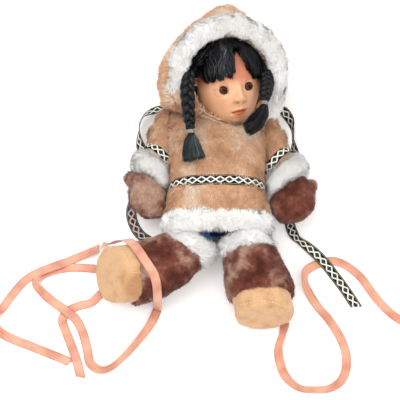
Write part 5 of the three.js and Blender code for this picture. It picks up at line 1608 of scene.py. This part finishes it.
class DOLL_OT_legs(bpy.types.Operator):
    """Makes the boots with their fur, suede soles and stitches, the trousers and the cloth legs"""

    bl_idname = "doll.legs"
    bl_label = "Legs and boots"

    def execute(self, context):
        cotton = plain_cloth("dyed_blue_cotton", "cotton")
        calico = plain_cloth("unbleached_calico", "calico")
        folds = {"inset": 0.4, "smoothing": 4}
        trousers = soft_copy("trouser_seat_cloth", ["trouser_seat"], cotton, lump=0.9, lump_size=14, **folds)
        seat(trousers, "torso", "denim_blue", "trouser_seat")
        body = soft_copy("cloth_body_calico", ["cloth_body"], calico, inset=0.5, lump=0.3)
        seat(body, "torso", "calico", "cloth_body")
        for word, side in SIDES:
            leg, thigh, top_fur = word + "_leg", word + "_trouser_leg", word + "_boot_top_fur"
            hip, top = np.array([side * 30.0, -62.0, 32.0]), middle_of(top_fur)
            down = unit(middle_of(word + "_boot_sole") - hip)

            def both_ways(places, facing, hip=hip, down=down, top=top):
                arm = places - hip
                radial = unit(arm - (arm @ down)[:, None] * down)
                return 0.7 * radial + np.clip((places - top) @ down / 5, -1, 1)[:, None] * down

            fur_piece(top_fur, leg, "white", 1.3, both_ways, 34, 2.0, {"inset": -1.0})
            fur_piece(
                word + "_boot_shaft", leg, "brown", 1.0, down, 26, 1.5, {"inset": -0.5, "lump": 1.2},
                wander=0.8, keep=self.off_strap if side < 0 else None,
            )
            self.sole(word, leg)
            trouser = soft_copy(word + "_trouser_cloth", [thigh], cotton, lump=0.8, lump_size=12, **folds)
            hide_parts(thigh)
            start, end = ((hip[0] * MM, y * MM, hip[2] * MM) for y in (-46, -78))
            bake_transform(trouser)
            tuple(start)
            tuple(end)
            limb = soft_copy(leg + "_cloth", [leg], calico, inset=0.3, lump=0.2)
            seat(limb, leg, "calico", leg)
        return {"FINISHED"}

    def off_strap(self, places, facing):
        """Keeps the pile of the boot from standing through the strap that presses on it."""
        strap = spline(INSTEP, np.linspace(0, 1, 90))
        return np.min([np.linalg.norm(places - place, axis=1) for place in strap], axis=0) > 7.5

    def sole(self, word, leg):
        """The sole and its side band, sewn as one soft rounded bag of suede."""
        nodes = [word + "_boot_sole", word + "_boot_side_strip"]
        sole = soft_copy(
            nodes[0] + "_suede", nodes, suede(), voxel=1.2, smoothing=26, inset=-1.1, lump=0.8, lump_size=22,
        )
        seat(sole, leg, "suede", *nodes)
        points = vertices_of(sole)
        # The painted shade mask: darker round each patch.
        seen = photo_places(points)
        dark = np.zeros(len(points))
        for x, y, size in SOLE_SHADE_PATCHES[word]:
            dark = np.maximum(dark, np.exp(-((seen[:, 0] - x) ** 2 + (seen[:, 1] - y) ** 2) / size**2))
        give_mask(sole, "painted_sole_shade", 0.75 * np.clip(dark * 1.4, 0, 1))
        tree = BVHTree.FromPolygons(points.tolist(), [list(face.vertices) for face in sole.data.polygons])
        for number, seam in enumerate(SEAMS[word]):
            knots = run_along(seam)
            rays = (photo_ray(*place) for place in between(np.arange(0, knots[-1], 0.5), knots, seam))
            hits = [tree.ray_cast(Vector(start), Vector(way)) for start, way in rays]
            self.stitches(f"{word}_sole_stitches_{number + 1}", leg, [hit for hit in hits if hit[0] is not None])

    def stitches(self, name, leg, hits):
        """Short humped stitches along the places where a seam's rays met the sole."""
        if len(hits) < 4:
            raise RuntimeError(name + ": its seam misses the sole")
        line = np.array([hit[0] for hit in hits])
        facing = unit(np.array([hit[1] for hit in hits]))
        reach = run_along(line)
        rings = []
        for start in np.arange(0.3, reach[-1] - STITCH_LONG, STITCH_EVERY):
            places = start + np.linspace(0, STITCH_LONG, 7)
            up = unit(between(places, reach, facing))
            hump = STITCH_HIGH * np.sin(np.linspace(0, math.pi, 7)) - 0.1
            middle = between(places, reach, line) + up * hump[:, None]
            side = unit(np.cross(unit(np.gradient(middle, axis=0)), up))
            part = tube(middle, side * 0.38, up * 0.32, 8)
            rings.append(np.concatenate([[drawn_in(part[0], 0.1)], part, [drawn_in(part[-1], 0.1)]]))
        faces = [tube_faces(9, 8) + number * 9 * 8 for number in range(len(rings))]
        thread = mesh_object(name, np.array(rings).reshape(-1, 3), np.concatenate(faces), [stitch_thread()])
        seat(thread, leg, "suede")


# The soft lamps: place in metres, size and power.
LAMPS = {"key": ((-0.5, 0.1, 1.5), 1.1, 11.4), "fill": ((0.75, -0.9, 1.3), 1.3, 9.0)}
FLOOR_REACH, FLOOR_DROP, SURROUNDINGS = 3000.0, 0.1, 0.88


class DOLL_OT_stage(bpy.types.Operator):
    """Sets the pale floor, the soft lamps and the surroundings"""

    bl_idname = "doll.stage"
    bl_label = "Floor and light"

    def execute(self, context):
        square = ((-1, -1), (1, -1), (1, 1), (-1, 1))
        corners = [(x * FLOOR_REACH, y * FLOOR_REACH, -FLOOR_DROP) for x, y in square]
        mesh_object("floor", corners, [[0, 1, 2, 3]], [paper()], smooth=False)
        for name, (place, size, power) in LAMPS.items():
            lamp = show(name, bpy.data.lights.new(name, "AREA"))
            lamp.data.size, lamp.data.energy = size, power
            lamp.location = place
            lamp.rotation_euler = (-Vector(place)).to_track_quat("-Z", "Y").to_euler()
        world = bpy.data.worlds.new("studio")
        world.use_nodes = True
        surroundings = world.node_tree.nodes["Background"].inputs
        surroundings["Color"].default_value = (1, 1, 1, 1)
        surroundings["Strength"].default_value = SURROUNDINGS
        context.scene.world = world
        return {"FINISHED"}


class DOLL_PT_panel(bpy.types.Panel):
    """Lists the doll's pieces, sizes and colours"""

    bl_idname = "DOLL_PT_panel"
    bl_label = "Doll"
    bl_space_type = "VIEW_3D"
    bl_region_type = "UI"
    bl_category = "Doll"

    def draw(self, context):
        for step in STEPS:
            self.layout.operator(step.bl_idname)
        for group in (context.scene.doll_sizes, context.scene.doll_colours):
            for name in group.bl_rna.properties.keys():
                if name not in ("rna_type", "name"):
                    self.layout.prop(group, name)


STEPS = [
    DOLL_OT_view, DOLL_OT_ribbons, DOLL_OT_head, DOLL_OT_hair, DOLL_OT_hood, DOLL_OT_coat,
    DOLL_OT_arms, DOLL_OT_legs, DOLL_OT_stage,
]
CLASSES = [DollSizes, DollColours, *STEPS, DOLL_PT_panel]


def register():
    for kind in CLASSES:
        bpy.utils.register_class(kind)
    bpy.types.Scene.doll_sizes = bpy.props.PointerProperty(type=DollSizes)
    bpy.types.Scene.doll_colours = bpy.props.PointerProperty(type=DollColours)


def unregister():
    del bpy.types.Scene.doll_colours
    del bpy.types.Scene.doll_sizes
    for kind in reversed(CLASSES):
        bpy.utils.unregister_class(kind)


def main():
    register()
    for step in STEPS:
        group, name = step.bl_idname.split(".")
        getattr(getattr(bpy.ops, group), name)()
    bpy.context.view_layer.update()


if __name__ == "__main__":
    main()
